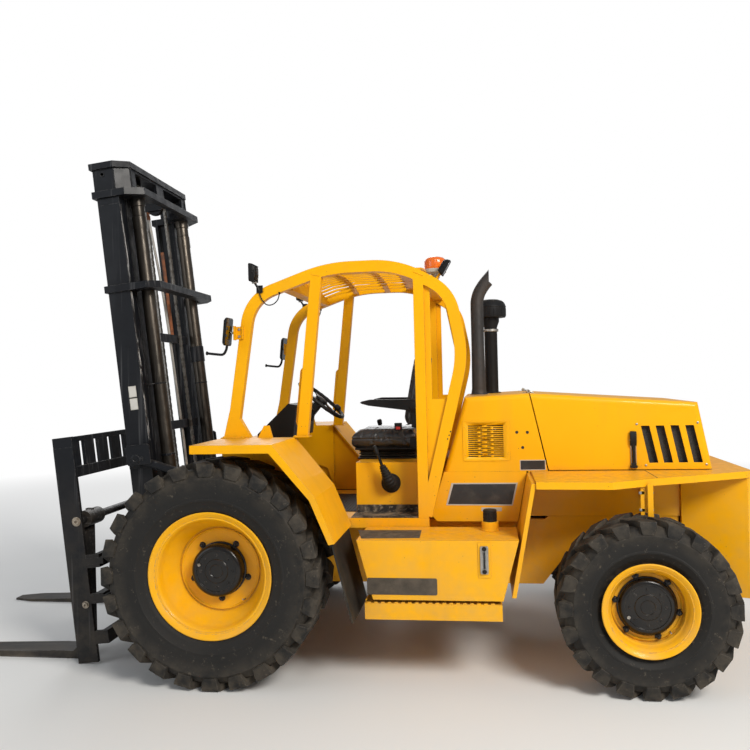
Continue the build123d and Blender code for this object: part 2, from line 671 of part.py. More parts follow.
def steering_wheel():
    tilt = 40.0
    ring = turned([(r, off) for r, off in ((199, 5), (191, 14), (179, 14), (171, 5), (171, -5), (179, -14),
                                           (191, -14), (199, -5))], 0, 0)
    ring = Rot(90, 0, 0) * ring
    hub = Cylinder(45, 30)
    spokes = [Rot(0, 0, a) * Pos(95, 0, 0) * Box(180, 24, 10) for a in (90, 210, 330)]
    wheel = join([hub] + spokes) + ring
    return Pos(-424, 0, 1583) * Rot(0, -tilt, 0) * wheel


guard_foot_z = fender_z
guard_line = [
    (22, 1373), (-112, 2238), (-606, 2410), (-1050, 2410), (-1354, 2233), (-1426, 1853), (-1184, 885)]
guard_radii = [250, 900, 600, 250, 600]


def band(line, radii, w, d, y):
    """A bent flat tube in a plane of constant Y, along a line with round corners."""
    path = FilletPolyline(*[(x, y, z) for x, z in line], radius=radii)
    section = Plane(origin=path @ 0, x_dir=(0, 1, 0), z_dir=path % 0) * Rectangle(w, d)
    return sweep(section, path)


# Overhead guard: side hoops, middle and rear posts, cross beams and the rear quarter panels
def guard():
    y = cab_y - guard_w / 2
    parts = []
    for side in (1, -1):
        hoop = band(guard_line, guard_radii, guard_w, guard_d, side * y)
        parts.append(hoop)
        y0, y1 = sorted((side * (cab_y - guard_w), side * cab_y))
        post = [(-392, guard_foot_z), (-462, guard_foot_z), (-575, 2395), (-505, 2380)]
        parts.append(plate_xz(post, y0, y1))
        parts.append(plate_xz([(-1136, floor_z), (-1136, 2380), (-1199, 2350), (-1199, floor_z)], y0, y1))
        parts.append(plate_xz([(75, guard_foot_z), (28, 1560), (8, 1560), (-100, guard_foot_z)], y0, y1))
        quarter = [(-1195, 890), (-1195, 2350), (-1330, 2260), (-1420, 1860), (-1200, 890)]
        panel = plate_xz(quarter, *sorted((side * (cab_y - 28), side * (cab_y - 20))))
        window = [(-1235, 1590), (-1235, 2260), (-1315, 2210), (-1385, 1850), (-1335, 1590)]
        parts.append(panel - plate_xz(window, *sorted((side * cab_y, side * (cab_y - 50)))))
        # grab handle beside the door opening
        handle = band([(-440, 1430), (-395, 1450), (-432, 1790), (-480, 1800)], 25, 22, 22, side * (y - 8))
        parts.append(handle)
    inner = cab_y - guard_w
    header = [(-inner, 2285), (inner, 2285), (inner, 2322), (300, 2364), (0, 2380), (-300, 2364),
              (-inner, 2322)]
    parts.append(plate_yz(header, -380, -300))
    parts.append(block(-1250, -1180, -inner, inner, 2300, 2345))
    parts.append(block(-1275, -1240, -inner, inner, 1120, 1180))
    return join(parts)


# Roof grille: bars from front to rear on a crown, two bands across, and the plate at the rear
roof_rise = 55.0
roof_bars = 11
roof_pitch = 92.0


def roof():
    parts = []
    for k in range(roof_bars):
        y = (k - (roof_bars - 1) / 2) * roof_pitch
        up = roof_rise * (1 - (y / cab_y) ** 2)
        pts = [(-380, 2322 + up), (-480, 2356 + up), (-640, 2380 + up), (-1000, 2384 + up),
               (-1000, 2368 + up), (-640, 2364 + up), (-482, 2340 + up), (-380, 2306 + up)]
        parts.append(plate_xz(pts, y - 8, y + 8))
    half = cab_y - guard_w
    # arched bands, and the plate at the rear: X from and to, Z at the edge and in the middle
    bands = ((-620, -580, 2366, 2421), (-860, -820, 2374, 2429), (-1180, -985, 2382, 2425))
    for x0, x1, edge, middle in bands:
        rise = (middle - edge) * 0.75
        low = [(-half, edge), (-300, edge + rise), (0, middle), (300, edge + rise), (half, edge)]
        high = [(y, z + plate_t + 2) for y, z in reversed(low)]
        parts.append(plate_yz(low + high, x0, x1))
    return join(parts)


# Engine cowl: fixed front part and hinged rear lid, both open below, made of sheet
hood_front_x = -1425.0
hood_seam_top = -1822.0
hood_seam_low = -1925.0
hood_rear_top = -2800.0
hood_rear_low = -2874.0
hood_low_z = 1141.0
hinge_x = -1819.0
hinge_z = 1620.5
hinge_r = 10.0
stack_x = -1513.0
stack_y = 250.0
stack_r = 55.0
hood_high = 1594.2
cleaner_x = -1600.0
cleaner_y = -200.0


def seam_at(z):
    """X of the seam between cowl and lid, at a height."""
    return hood_seam_top + (hood_seam_low - hood_seam_top) * (1610 - z) / (1610 - 1131)


grille_columns = 4
grille_rows = 8
grille_x = -1524.0
grille_step_x = 50.0
grille_slot = 38.0
grille_z = 1265.0
grille_step_z = 22.0


def shell(points, y, t, open_ends):
    """A sheet housing open below and at its seam, whose points' numbers are given."""
    cx = sum(p[0] for p in points) / len(points)
    low = min(p[1] for p in points)
    inner = []
    for k, (x, z) in enumerate(points):
        inward = t if x < cx else -t
        if k in open_ends:
            inward = -t if x < cx else t
        inner.append((x + inward, z - t if z > low + 1 else z - 5))
    return plate_xz(points, -y, y) - plate_xz(inner, -y + t, y - t)


def front_cowl():
    seam_x = seam_at(deck_top) + 6
    pts = [(hood_front_x, 1594), (hood_seam_top + 6, 1610), (seam_x, deck_top), (-1290, deck_top)]
    cowl = shell(pts, hood_half, hood_t, (1, 2))
    # louvred grille on both sides
    for k in range(grille_columns):
        x = grille_x - grille_step_x * k
        for j in range(grille_rows):
            z = grille_z + grille_step_z * j
            cowl = cowl - block(x - grille_slot, x, -hood_half - 5, hood_half + 5, z, z + 13)
    # hinge knuckles and pins of the lid
    for s in (1, -1):
        y0, y1 = sorted((s * 300, s * 340))
        cowl = cowl + rod_y(hinge_x, hinge_z, y0, y1, hinge_r)
        cowl = cowl + block(hinge_x + 4, hinge_x + 34, y0, y1, hinge_z - hinge_r - 3, hinge_z - 2)
        cowl = cowl + rod_y(hinge_x, hinge_z, *sorted((s * 300, s * 385)), 5)
    # panels below it, down to the tanks
    pts = [(-1202, 873), (-1290, deck_top + 1), (-1790, deck_top + 1), (-1790, deck_top - 12),
           (-1732, 830), (-1240, 830)]
    for s in (1, -1):
        cowl = cowl + plate_xz(pts, *sorted((s * (hood_half - hood_t), s * hood_half)))
    return cowl


def hood():
    pts = [(hood_seam_top, 1610), (hood_rear_top, 1536), (hood_rear_low, hood_low_z),
           (seam_at(hood_low_z), hood_low_z)]
    lid = shell(pts, hood_half, hood_t, (0, 3))
    for k in range(4):
        x = -2530 - 70 * k
        slot = plate_xz([(x + 18, 1470), (x - 26, 1470), (x - 62, 1260), (x - 18, 1260)], -600, 600)
        lid = lid - slot
    for s in (1, -1):
        y0, y1 = sorted((s * 345, s * 385))
        lid = lid + rod_y(hinge_x, hinge_z, y0, y1, hinge_r)
        lid = lid + block(hinge_x - 34, hinge_x - 4, y0, y1, hinge_z - hinge_r - 5, hinge_z - 4)
        lid = lid - rod_y(hinge_x, hinge_z, *sorted((s * 344, s * 386)), 5.3)
    return lid


def latches():
    near = hood_half + run_gap
    return [block(-2440, -2400, *sorted((s * near, s * (near + 26))), 1180, 1330) for s in (1, -1)]


# Rear deck: a wide shelf over the wheels with its turned-down edge, open in the middle
def rear_deck():
    outer = [(-1816, 1000), (-2217, 1030), (-2480, 868), (-2700, 758)]
    plan = outer + [(x, -y) for x, y in reversed(outer)]
    shelf = plate_xy(plan, deck_top - 12, deck_top)
    hole = block(-2701, -1810, -hood_half + 20, hood_half - 20, deck_top - 20, deck_top + 5)
    shelf = shelf - hole
    for s in (1, -1):
        for p, q in zip(outer[:-1], outer[1:]):
            edge = [(p[0], s * p[1]), (q[0], s * q[1]), (q[0], s * (q[1] - 10)), (p[0], s * (p[1] - 10))]
            shelf = shelf + plate_xy(edge, deck_top - deck_t, deck_top)
        # front leg of the wheel arch and the wall inside it
        leg = [(-1816, deck_top - 11), (-1792, deck_top - 11), (-1672, 500), (-1696, 500)]
        shelf = shelf + plate_xz(leg, *sorted((s * rail_y, s * 990)))
    # inner walls of the rear arches and their upright channels
    for s in (1, -1):
        wall = block(-2699, -1800, *sorted((s * rail_y, s * (rail_y + 8))), 850, deck_top)
        ledge = block(-2699, -1800, *sorted((s * rail_y, s * hood_half)), deck_top - 12, deck_top)
        shelf = shelf + wall + ledge
        channel = sorted((s * (rail_y + 7), s * (rail_y + 38)))
        shelf = shelf + block(-2530, -2470, *channel, 960, deck_top - 11)
    return shelf


# Counterweight: cast block between and behind the rear wheels, narrower at its front
def counterweight():
    plan = [(-2700, 430), (-2700, -430), (-3040, -560), (rear_x, -520), (rear_x, 520), (-3040, 560)]
    block_low = plate_xy(plan, 400, deck_top)
    lip_plan = [(-2700, 758), (-3040, 570), (rear_x, 530), (rear_x, -530), (-3040, -570), (-2700, -758)]
    lip = plate_xy(lip_plan, deck_top - deck_t, deck_top)
    hole = block(-2950, -2690, -300, 300, 560, 1060)
    weight = block_low - hole
    for k in range(6):
        y = -250 + 100 * k
        weight = weight - block(rear_x - 10, -2940, y - 36, y + 36, 640, 1000)
    return weight + lip


def radiator():
    return block(-2800, -2715, -290, 290, 660, 1060)


def engine():
    return block(-2150, -1480, -240, 240, engine_low, 1320)


# Exhaust: a straight stack whose bent end is cut upright, hollow at its mouth
def exhaust():
    line = FilletPolyline((stack_x, stack_y, hood_high + 6), (stack_x, stack_y, 2270),
                          (stack_x - 190, stack_y, 2500), radius=150)
    start = Plane(origin=line @ 0, z_dir=line % 0)
    pipe = sweep(start * Circle(stack_r), line) - sweep(start * Circle(stack_r - 5), line)
    pipe = pipe - block(stack_x - 400, stack_x - 105, stack_y - 200, stack_y + 200, 2200, 2700)
    return pipe


# Pre-cleaner: a stem and a domed cap
def pre_cleaner():
    stem = rod_between((cleaner_x, cleaner_y, 1603.3), (cleaner_x, cleaner_y, 2150), 45)
    cap = Pos(cleaner_x, cleaner_y, 2190) * Cylinder(110, 130)
    return stem + fillet(cap.edges().filter_by(GeomType.CIRCLE).sort_by(Axis.Z)[-1], 50)


# Front work lamps and mirrors on the hoops, and the rear work lamp beside the beacon
def lamps_and_mirrors():
    lamps = []
    for s in (1, -1):
        lamp = block(-178, -112, *sorted((s * 570, s * 660)), 2345, 2456)
        lamp = fillet(lamp.edges().filter_by(Axis.Y), 14)
        stem = block(-185, -160, *sorted((s * cab_y, s * (cab_y + 10))), 2180, 2346)
        lamps.append(lamp + stem)
        clamp = block(-60, -5, *sorted((s * cab_y, s * (cab_y + 14))), 1930, 2010)
        holder = block(-12, 22, *sorted((s * (cab_y + 1), s * (cab_y + 40))), 1925, 2015)
        mirror_body = block(20, 46, *sorted((s * (cab_y + 10), s * (cab_y + 140))), 1890, 2060)
        arm = rod_between((34, s * (cab_y + 60), 1895), (55, s * (cab_y + 60), 1830), 9)
        arm = arm + rod_between((52, s * (cab_y + 60), 1832), (165, s * (cab_y + 60), 1848), 9)
        lamps.append(join([clamp, holder, mirror_body, arm]))
    rear = Pos(-1300, 130, 2452) * Rot(0, -30, 0) * Box(60, 110, 130)
    foot = block(-1249.7, -1225, 120, 140, 2345.3, 2370)
    post = rod_between((-1237, 130, 2360), (-1290, 130, 2430), 9)
    return lamps + [join([rear, foot, post])]


def beacon():
    return Pos(-1215, 0, 2345.3) * extrude(Circle(20), 100) + Pos(-1215, 0, 2440) * extrude(Circle(60), 100)


def seat():
    cushion = block(-1120, -640, -255, 255, 1262, 1385)
    back = plate_xz([(-1110, 1385.3), (-1010, 1385.3), (-1120, 1900), (-1200, 1900)], -240, 240)
    base = block(-1100, -700, -210, 210, 1190.3, 1261.7)
    wedge = [(-1120, 1500), (-1120, 1582), (-800, 1586), (-742, 1566), (-800, 1545)]
    arms = [plate_xz(wedge, *sorted((s * 262, s * 320))) for s in (1, -1)]
    posts = [block(-1115, -1075, *sorted((s * 240.3, s * 300)), 1400, 1521) for s in (1, -1)]
    return cushion, back, [base] + [a + p for a, p in zip(arms, posts)]


def levers():
    parts = []
    for k in range(3):
        y = -440 - 30 * k
        parts.append(rod_between((-800, y, lever_z + 1.7), (-760, y, 1420), 8))
    # side lever in its ribbed boot, on the seat box
    boot = [(-950, 439, 1060), (-948, 470, 1072), (-940, 492, 1096), (-930, 500, 1124), (-918, 502, 1152),
            (-905, 500, 1180)]
    side_lever = rod_y(-950, 1060, 420.3, 440, 62)
    for k in range(len(boot) - 1):
        side_lever = side_lever + rod_between(boot[k], boot[k + 1], 50 - 6 * k)
    return parts + [side_lever + rod_between(boot[-1], (-862, 505, 1300), 10)]


seat_cushion, seat_back, seat_frame = seat()

fixed_pieces = {
    "main_frame": main_frame(), "front_axle": front_axle(), "rear_axle": rear_axle(),
    "steer_rod": steer_rod(),
    "outer_mast": outer_mast(), "lift_cylinders": lift_cylinders(), "inner_mast": inner_mast(),
    "chain_front_runs": chain_front(), "chain_rear_runs": chain_rear(), "chain_over_sheaves": chain_over(),
    "carriage_frame": carriage(),
    "load_backrest": backrest(), "front_fenders": both(fender()), "mudflaps": both(mudflap()),
    "side_tanks": both(side_tank()), "floor_and_seat_box": floor(), "dash_cowl": dash(),
    "steering_wheel": steering_wheel(), "overhead_guard": guard(), "roof_grille": roof(),
    "front_cowl": front_cowl(), "hood_lid": hood(), "hood_latches": latches(), "rear_deck": rear_deck(),
    "counterweight": counterweight(), "radiator": radiator(), "engine_block": engine(),
    "exhaust_stack": exhaust(), "air_pre_cleaner": pre_cleaner(), "lamps_and_mirrors": lamps_and_mirrors(),
    "beacon": beacon(), "seat_cushion": seat_cushion, "seat_back": seat_back, "seat_frame": seat_frame,
    "control_levers": levers()}
for name, shapes in fixed_pieces.items():
    keep(name, shapes)
for label, side in (("left", 1), ("right", -1)):
    keep("knuckle_" + label, knuckle(side))
    keep("front_rim_" + label,
         rim(front_seat_r, front_flange_r, front_bead_half, front_disc, front_disc_r, front_drum, 72.5,
             front_tyre_y, front_tyre_r, 0, side))
    keep("rear_rim_" + label,
         rim(rear_seat_r, rear_flange_r, rear_bead_half, rear_disc, rear_disc_r, rear_drum, 60,
             rear_tyre_y, rear_tyre_r, -wheelbase, side))
    keep("front_tyre_" + label,
         tyre(front_tyre_r, front_tyre_w, front_seat_r, front_flange_r, front_bead_half, lug_h_front,
              front_lugs, front_tyre_y, 0, side, 9.4))
    keep("rear_tyre_" + label,
         tyre(rear_tyre_r, rear_tyre_w, rear_seat_r, rear_flange_r, rear_bead_half, lug_h_rear,
              rear_lugs, rear_tyre_y, -wheelbase, side, 9.8))
    keep("fork_" + label, fork(side))
    keep("tilt_barrel_" + label, tilt_barrel(side))
    keep("tilt_rod_" + label, tilt_rod(side))

os.makedirs("parts", exist_ok=True)
for name, shapes in nodes.items():
    solids = []
    for shape in shapes:
        solids.extend(shape.solids())
    moved = [Pos(shift_x, 0, 0) * solid for solid in solids]
    whole = moved[0] if len(moved) == 1 else Compound(children=moved)
    whole.label = name
    export_step(whole, "parts/" + name + ".step")
print("nodes", len(nodes), "shift_x", round(shift_x, 3))
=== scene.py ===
import bpy
import bmesh
import json
from math import cos, exp, pi, radians, sin
from mathutils import Matrix, Vector


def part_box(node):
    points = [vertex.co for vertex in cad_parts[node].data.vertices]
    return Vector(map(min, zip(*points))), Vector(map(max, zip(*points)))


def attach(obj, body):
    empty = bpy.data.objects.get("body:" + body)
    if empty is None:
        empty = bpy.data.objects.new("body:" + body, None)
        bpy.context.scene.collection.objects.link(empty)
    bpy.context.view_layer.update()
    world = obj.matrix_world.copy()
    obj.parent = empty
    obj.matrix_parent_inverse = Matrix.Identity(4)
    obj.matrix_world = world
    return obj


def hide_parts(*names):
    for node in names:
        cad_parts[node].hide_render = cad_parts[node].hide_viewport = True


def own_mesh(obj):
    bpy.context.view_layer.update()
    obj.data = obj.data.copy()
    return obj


# Looks of a rough-terrain forklift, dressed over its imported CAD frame.
# Lengths are millimetres from the front axle, X forward, Y left, Z up, until at() or on_mast() turns
# them into the row frame's metres.
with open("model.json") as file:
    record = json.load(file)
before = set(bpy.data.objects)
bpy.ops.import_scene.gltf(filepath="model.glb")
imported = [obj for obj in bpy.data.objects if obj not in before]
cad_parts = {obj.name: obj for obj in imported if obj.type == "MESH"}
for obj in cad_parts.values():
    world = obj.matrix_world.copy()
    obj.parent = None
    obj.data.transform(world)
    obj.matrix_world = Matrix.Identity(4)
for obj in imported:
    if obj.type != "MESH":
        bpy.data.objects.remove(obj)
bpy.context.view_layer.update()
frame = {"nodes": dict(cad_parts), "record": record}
MM = 0.001


def middle(node):
    """Centre of a CAD node's box, in metres."""
    low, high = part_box(node)
    return (low + high) / 2


axle_x = middle("front_rim_left").x

up_axis = (0, 0, 1)
square = ((-1, -1), (1, -1), (1, 1), (-1, 1))

# Driving sizes of the body, as in the part's source
cab_y = 614.0
cab_face = cab_y + 0.2
hood_half = 490.0
deck_top = 1136.0
tank_out = 1020.0
tank_top = 820.0
mast_lean = radians(6.0)
mast_foot_x = 612.7
sheave_a = -85.0
sheave_s = 3055.0
chain_y = 200.0


def at(x, y, z):
    """A point of the body, in metres in the row frame."""
    return Vector((axle_x + x * MM, y * MM, z * MM))


def on_mast(a, y, s):
    """A point of the mast: a is forward from the rails' front face, s is along the rails."""
    x = mast_foot_x + s * sin(mast_lean) + a * cos(mast_lean)
    return at(x, y, s * cos(mast_lean) - a * sin(mast_lean))


def at_wheel(centre, side):
    """Places points given from a wheel's centre, with the second number counted outwards."""
    return lambda x, out, z: centre + Vector((x, side * out, z)) * MM


def turns(count, first=0.0):
    """Angles that share a full turn evenly."""
    return [first + 2 * pi * k / count for k in range(count)]


def bend(points, steps=8):
    """A smooth line through the points."""
    line = []
    rows = [Vector(p) for p in points]
    rows = [rows[0] * 2 - rows[1]] + rows + [rows[-1] * 2 - rows[-2]]
    for k in range(1, len(rows) - 2):
        a, b, c, d = rows[k - 1:k + 3]
        for j in range(steps):
            t = j / steps
            line.append(0.5 * (2 * b + (c - a) * t + (2 * a - 5 * b + 4 * c - d) * t ** 2
                               + (3 * b - a - 3 * c + d) * t ** 3))
    return line + [rows[-2]]


def linked(name, data):
    """A new object in the scene."""
    made = bpy.data.objects.new(name, data)
    bpy.context.scene.collection.objects.link(made)
    return made


class Piece:
    """The faces of one new piece, gathered before its mesh is made."""

    def __init__(self, name, place=at):
        self.name = name
        self.place = place
        self.verts = []
        self.faces = []
        self.marks = []

    def add(self, verts, faces, mark=0):
        first = len(self.verts)
        self.verts.extend(verts)
        self.faces.extend([tuple(first + k for k in face) for face in faces])
        self.marks.extend([mark] * len(faces))

    def rings(self, rings, mark=0, loop=False, caps=True):
        """Joins rings of points, one after the other."""
        count = len(rings[0])
        verts = [p for ring in rings for p in ring]
        faces = []
        for k in range(len(rings) if loop else len(rings) - 1):
            low = k * count
            high = (k + 1) % len(rings) * count
            for j in range(count):
                nxt = (j + 1) % count
                faces.append((low + j, low + nxt, high + nxt, high + j))
        if caps and not loop:
            faces.append(tuple(range(count)))
            faces.append(tuple(len(verts) - count + j for j in range(count)))
        self.add(verts, faces, mark)

    def box(self, one, two, mark=0):
        """A box between any two opposite corners."""
        (x0, y0, z0), (x1, y1, z1) = one, two
        flat = [(x0, y0), (x1, y0), (x1, y1), (x0, y1)]
        self.rings([[self.place(x, y, z) for x, y in flat] for z in (z0, z1)], mark)

    def prism(self, outline, y0, y1, mark=0):
        """A plate that stands in XZ, between two Y values."""
        self.rings([[self.place(x, y, z) for x, z in outline] for y in (y0, y1)], mark)

    def tube(self, points, radius, mark=0, sides=12, loop=False):
        """A round bar along a line; its radius is one number or one for each point."""
        line = [self.place(*p) for p in points]
        radii = radius if isinstance(radius, list) else [radius] * len(line)
        last = len(line) - 1
        normal = None
        rings = []
        for k, here in enumerate(line):
            before = line[k - 1] if k or loop else here
            after = line[(k + 1) % len(line)] if k < last or loop else here
            along = (after - before).normalized()
            normal = along.orthogonal() if normal is None else normal - along * normal.dot(along)
            normal = normal.normalized()
            across = along.cross(normal)
            rings.append([here + (normal * cos(t) + across * sin(t)) * radii[k] * MM for t in turns(sides)])
        self.rings(rings, mark, loop)

    def turned(self, profile, centre=(0, 0, 0), axis=(0, 1, 0), sides=48, mark=0, loop=False):
        """A turned body, from (radius, distance along the axis) points."""
        along = Vector(axis).normalized()
        u = Vector((1, 0, 0)) if abs(along.x) < 0.9 else Vector((0, 1, 0))
        u = (u - along * u.dot(along)).normalized()
        v = along.cross(u)
        rings = []
        for radius, reach in profile:
            foot = Vector(centre) + along * reach
            spots = [foot + (u * cos(t) + v * sin(t)) * max(radius, 0.01) for t in turns(sides)]
            rings.append([self.place(*spot) for spot in spots])
        self.rings(rings, mark, loop)

    def bolt(self, spot, axis, size=10.0, height=8.0, mark=0):
        """A hexagon head on its washer."""
        self.turned([(size * 1.25, -1), (size * 1.25, 2), (size * 1.15, 2.5)], spot, axis, 16, mark)
        self.turned([(size, 2), (size, height - 1), (size * 0.85, height)], spot, axis, 6, mark)

    def make(self, body, finishes, slot, hides=(), bevel=0.0):
        """The finished object, riding on a CAD body."""
        mesh = bpy.data.meshes.new(self.name)
        mesh.from_pydata(self.verts, [], self.faces)
        for finish in finishes:
            mesh.materials.append(finish)
        mesh.polygons.foreach_set("material_index", self.marks)
        shape = bmesh.new()
        shape.from_mesh(mesh)
        bmesh.ops.recalc_face_normals(shape, faces=shape.faces)
        shape.to_mesh(mesh)
        shape.free()
        mesh.polygons.foreach_set("use_smooth", [True] * len(mesh.polygons))
        mesh.set_sharp_from_angle(angle=radians(35))
        made = linked(self.name, mesh)
        if bevel:
            edge = made.modifiers.new("edges", "BEVEL")
            edge.width = bevel * MM
            edge.segments = 2
            edge.limit_method = "ANGLE"
            edge.angle_limit = radians(40)
            edge.harden_normals = True
        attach(made, body)
        if hides:
            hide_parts(*hides)
        return made


class Finish:
    """A material whose colour, roughness and bump are built up step by step."""

    def __init__(self, name, color, rough, **sockets):
        self.material = bpy.data.materials.new(name)
        self.material.use_nodes = True
        self.tree = self.material.node_tree
        self.shader = self.tree.nodes["Principled BSDF"]
        for key, value in sockets.items():
            self.shader.inputs[key.replace("_", " ")].default_value = value
        self.color = (*color, 1.0)
        self.rough = rough
        self.normal = None
        self.place = self.node("TexCoord").outputs["Object"]

    def feed(self, socket, value):
        if isinstance(value, bpy.types.NodeSocket):
            self.tree.links.new(value, socket)
        elif value is not None:
            socket.default_value = value

    def node(self, kind, *values, **settings):
        made = self.tree.nodes.new("ShaderNode" + kind)
        for key, value in settings.items():
            setattr(made, key, value)
        for socket, value in zip(made.inputs, values):
            self.feed(socket, value)
        return made

    def math(self, operation, a, b=None):
        return self.node("Math", a, b, operation=operation).outputs[0]

    def times(self, a, b):
        return self.math("MULTIPLY", a, b)

    def fit(self, value, low, high, to_low=0.0, to_high=1.0):
        """A value stretched from one range onto another, and held inside it."""
        return self.node("MapRange", value, low, high, to_low, to_high).outputs[0]

    def noise(self, scale, detail=3.0, stretch=None, rough=0.5):
        spot = self.place
        if stretch:
            spot = self.node("VectorMath", spot, stretch, operation="MULTIPLY").outputs[0]
        made = self.node("TexNoise", spot)
        made.inputs["Scale"].default_value = scale
        made.inputs["Detail"].default_value = detail
        made.inputs["Roughness"].default_value = rough
        return made.outputs[0]

    def patch(self, scale, detail, low, high, most=1.0, **more):
        """Noise stretched from low and high onto 0 and most, and held between them."""
        return self.fit(self.noise(scale, detail, **more), low, high, 0.0, most)

    def cells(self, scale):
        made = self.node("TexVoronoi", self.place)
        made.inputs["Scale"].default_value = scale
        return made.outputs["Distance"]

    def tint(self, share, color):
        """Mixes a colour in, by a share from 0 to 1."""
        self.color = self.node("MixRGB", share, self.color, (*color, 1.0)).outputs[0]

    def roughen(self, share, value):
        mix = self.node("Mix", data_type="FLOAT")
        self.feed(mix.inputs[0], share)
        self.feed(mix.inputs[2], self.rough)
        self.feed(mix.inputs[3], value)
        self.rough = mix.outputs[0]

    def relief(self, height, depth, strength=1.0):
        """A bump, whose depth is in millimetres."""
        bump = self.node("Bump")
        bump.inputs["Strength"].default_value = strength
        bump.inputs["Distance"].default_value = depth * MM
        self.feed(bump.inputs["Height"], height)
        self.feed(bump.inputs["Normal"], self.normal)
        self.normal = bump.outputs[0]

    def soften(self, radius):
        """Rounds what shows of hard edges, and keeps the rounded normal for the bumps."""
        rounded = self.node("Bevel", samples=4)
        rounded.inputs["Radius"].default_value = radius * MM
        self.normal = rounded.outputs[0]

    def facing(self):
        """How far the surface faces up, and its height over the ground in metres."""
        normal = self.node("NewGeometry").outputs["Normal"]
        up = self.node("SeparateXYZ", normal).outputs[2]
        height = self.node("SeparateXYZ", self.place).outputs[2]
        return up, height

    def open_air(self, reach):
        """1 where the surface stands free, down to 0 in a corner."""
        made = self.node("AmbientOcclusion", samples=4)
        made.inputs["Distance"].default_value = reach * MM
        return made.outputs["AO"]

    def worn_edges(self, radius, free):
        """1 on outer edges, broken up by noise."""
        rounded = self.node("Bevel", samples=4)
        rounded.inputs["Radius"].default_value = radius * MM
        flat = self.node("NewGeometry").outputs["Normal"]
        away = self.node("VectorMath", rounded.outputs[0], flat, operation="DOT_PRODUCT").outputs["Value"]
        edge = self.times(self.fit(away, 0.985, 0.86), self.fit(free, 0.55, 0.8))
        return self.times(edge, self.patch(38, 5, 0.46, 0.62, rough=0.7))

    def dust_and_corner_shade(self, dust, corner_shade_and_grime, dust_color=(0.36, 0.28, 0.185), free=None):
        """Painted shade and grime in the corners, and dust low down and on what faces up."""
        free = free or self.open_air(90)
        blotch = self.noise(9, 5, rough=0.65)
        # painted shade: the colour darkens to dark brown where ambient occlusion closes in, standing for the
        # corners' shade as well as grime
        corner = self.times(self.fit(free, 0.72, 0.25), self.fit(blotch, 0.25, 0.7))
        self.tint(self.times(corner, corner_shade_and_grime), (0.055, 0.042, 0.028))
        up, height = self.facing()
        low = self.times(self.fit(height, 1.25, 0.15), self.fit(blotch, 0.3, 0.75))
        shelf = self.times(self.fit(up, 0.6, 0.98), self.patch(24, 4, 0.35, 0.7))
        both = self.math("MAXIMUM", low, self.times(shelf, 0.75))
        share = self.times(both, dust)
        self.tint(share, dust_color)
        self.roughen(share, 0.85)

    def done(self):
        self.feed(self.shader.inputs["Base Color"], self.color)
        self.feed(self.shader.inputs["Roughness"], self.rough)
        self.feed(self.shader.inputs["Normal"], self.normal)
        return self.material


# Finishes
def yellow_paint():
    f = Finish("yellow paint", (0.93, 0.455, 0.0), 0.36, Coat_Weight=0.12, Specular_IOR_Level=0.2)
    f.tint(f.patch(1.6, 4, 0.3, 0.75, 0.55), (0.86, 0.365, 0.0))
    f.tint(f.patch(7, 6, 0.52, 0.8, 0.22, stretch=(1, 1, 0.12)), (0.52, 0.27, 0.03))
    f.roughen(f.patch(14, 5, 0.35, 0.7, 0.6), 0.5)
    free = f.open_air(90)
    f.dust_and_corner_shade(0.42, 0.62, free=free)
    chips = f.worn_edges(3.5, free)
    f.tint(f.times(chips, 0.75), (0.16, 0.10, 0.055))
    specks = f.times(f.fit(f.cells(26), 0.075, 0.045), f.patch(3, 3, 0.5, 0.6))
    f.tint(specks, (0.10, 0.06, 0.035))
    f.soften(4.0)
    f.relief(f.noise(150, 2), 0.35, 0.35)
    f.relief(f.noise(4, 2), 3.0, 0.12)
    return f.done()


def wheel_paint():
    f = Finish("wheel paint", (0.93, 0.46, 0.0), 0.36, Coat_Weight=0.12, Specular_IOR_Level=0.2)
    f.tint(f.patch(6, 5, 0.35, 0.8, 0.5), (0.84, 0.36, 0.0))
    free = f.open_air(60)
    f.dust_and_corner_shade(0.30, 0.75, free=free)
    f.tint(f.times(f.worn_edges(3, free), 0.8), (0.30, 0.22, 0.13))
    f.relief(f.noise(120, 2), 0.4, 0.4)
    return f.done()


def mast_paint():
    f = Finish("mast paint", (0.0050, 0.0060, 0.0085), 0.42, Coat_Weight=0.08, Specular_IOR_Level=0.22)
    f.tint(f.patch(3, 5, 0.4, 0.75, 0.6), (0.009, 0.009, 0.011))
    scratch = f.patch(42, 3, 0.60, 0.68, stretch=(1, 1, 0.02))
    f.tint(f.times(scratch, 0.25), (0.16, 0.16, 0.165))
    f.roughen(f.patch(16, 5, 0.4, 0.7), 0.58)
    free = f.open_air(60)
    f.dust_and_corner_shade(0.14, 0.3, free=free)
    f.tint(f.times(f.worn_edges(4, free), 0.75), (0.22, 0.21, 0.20))
    f.soften(3.0)
    f.relief(f.noise(160, 2), 0.3, 0.3)
    return f.done()


def fork_steel():
    f = Finish("fork steel", (0.012, 0.012, 0.013), 0.45, Specular_IOR_Level=0.3)
    f.tint(f.patch(5, 6, 0.45, 0.62, 0.5, stretch=(0.4, 1, 1)), (0.045, 0.036, 0.030))
    f.tint(f.patch(60, 3, 0.58, 0.66, 0.4, stretch=(0.03, 1, 1)), (0.16, 0.155, 0.15))
    free = f.open_air(50)
    f.dust_and_corner_shade(0.16, 0.3, free=free)
    f.tint(f.worn_edges(4, free), (0.20, 0.19, 0.18))
    f.soften(2.5)
    f.relief(f.noise(70, 4), 0.5, 0.5)
    return f.done()


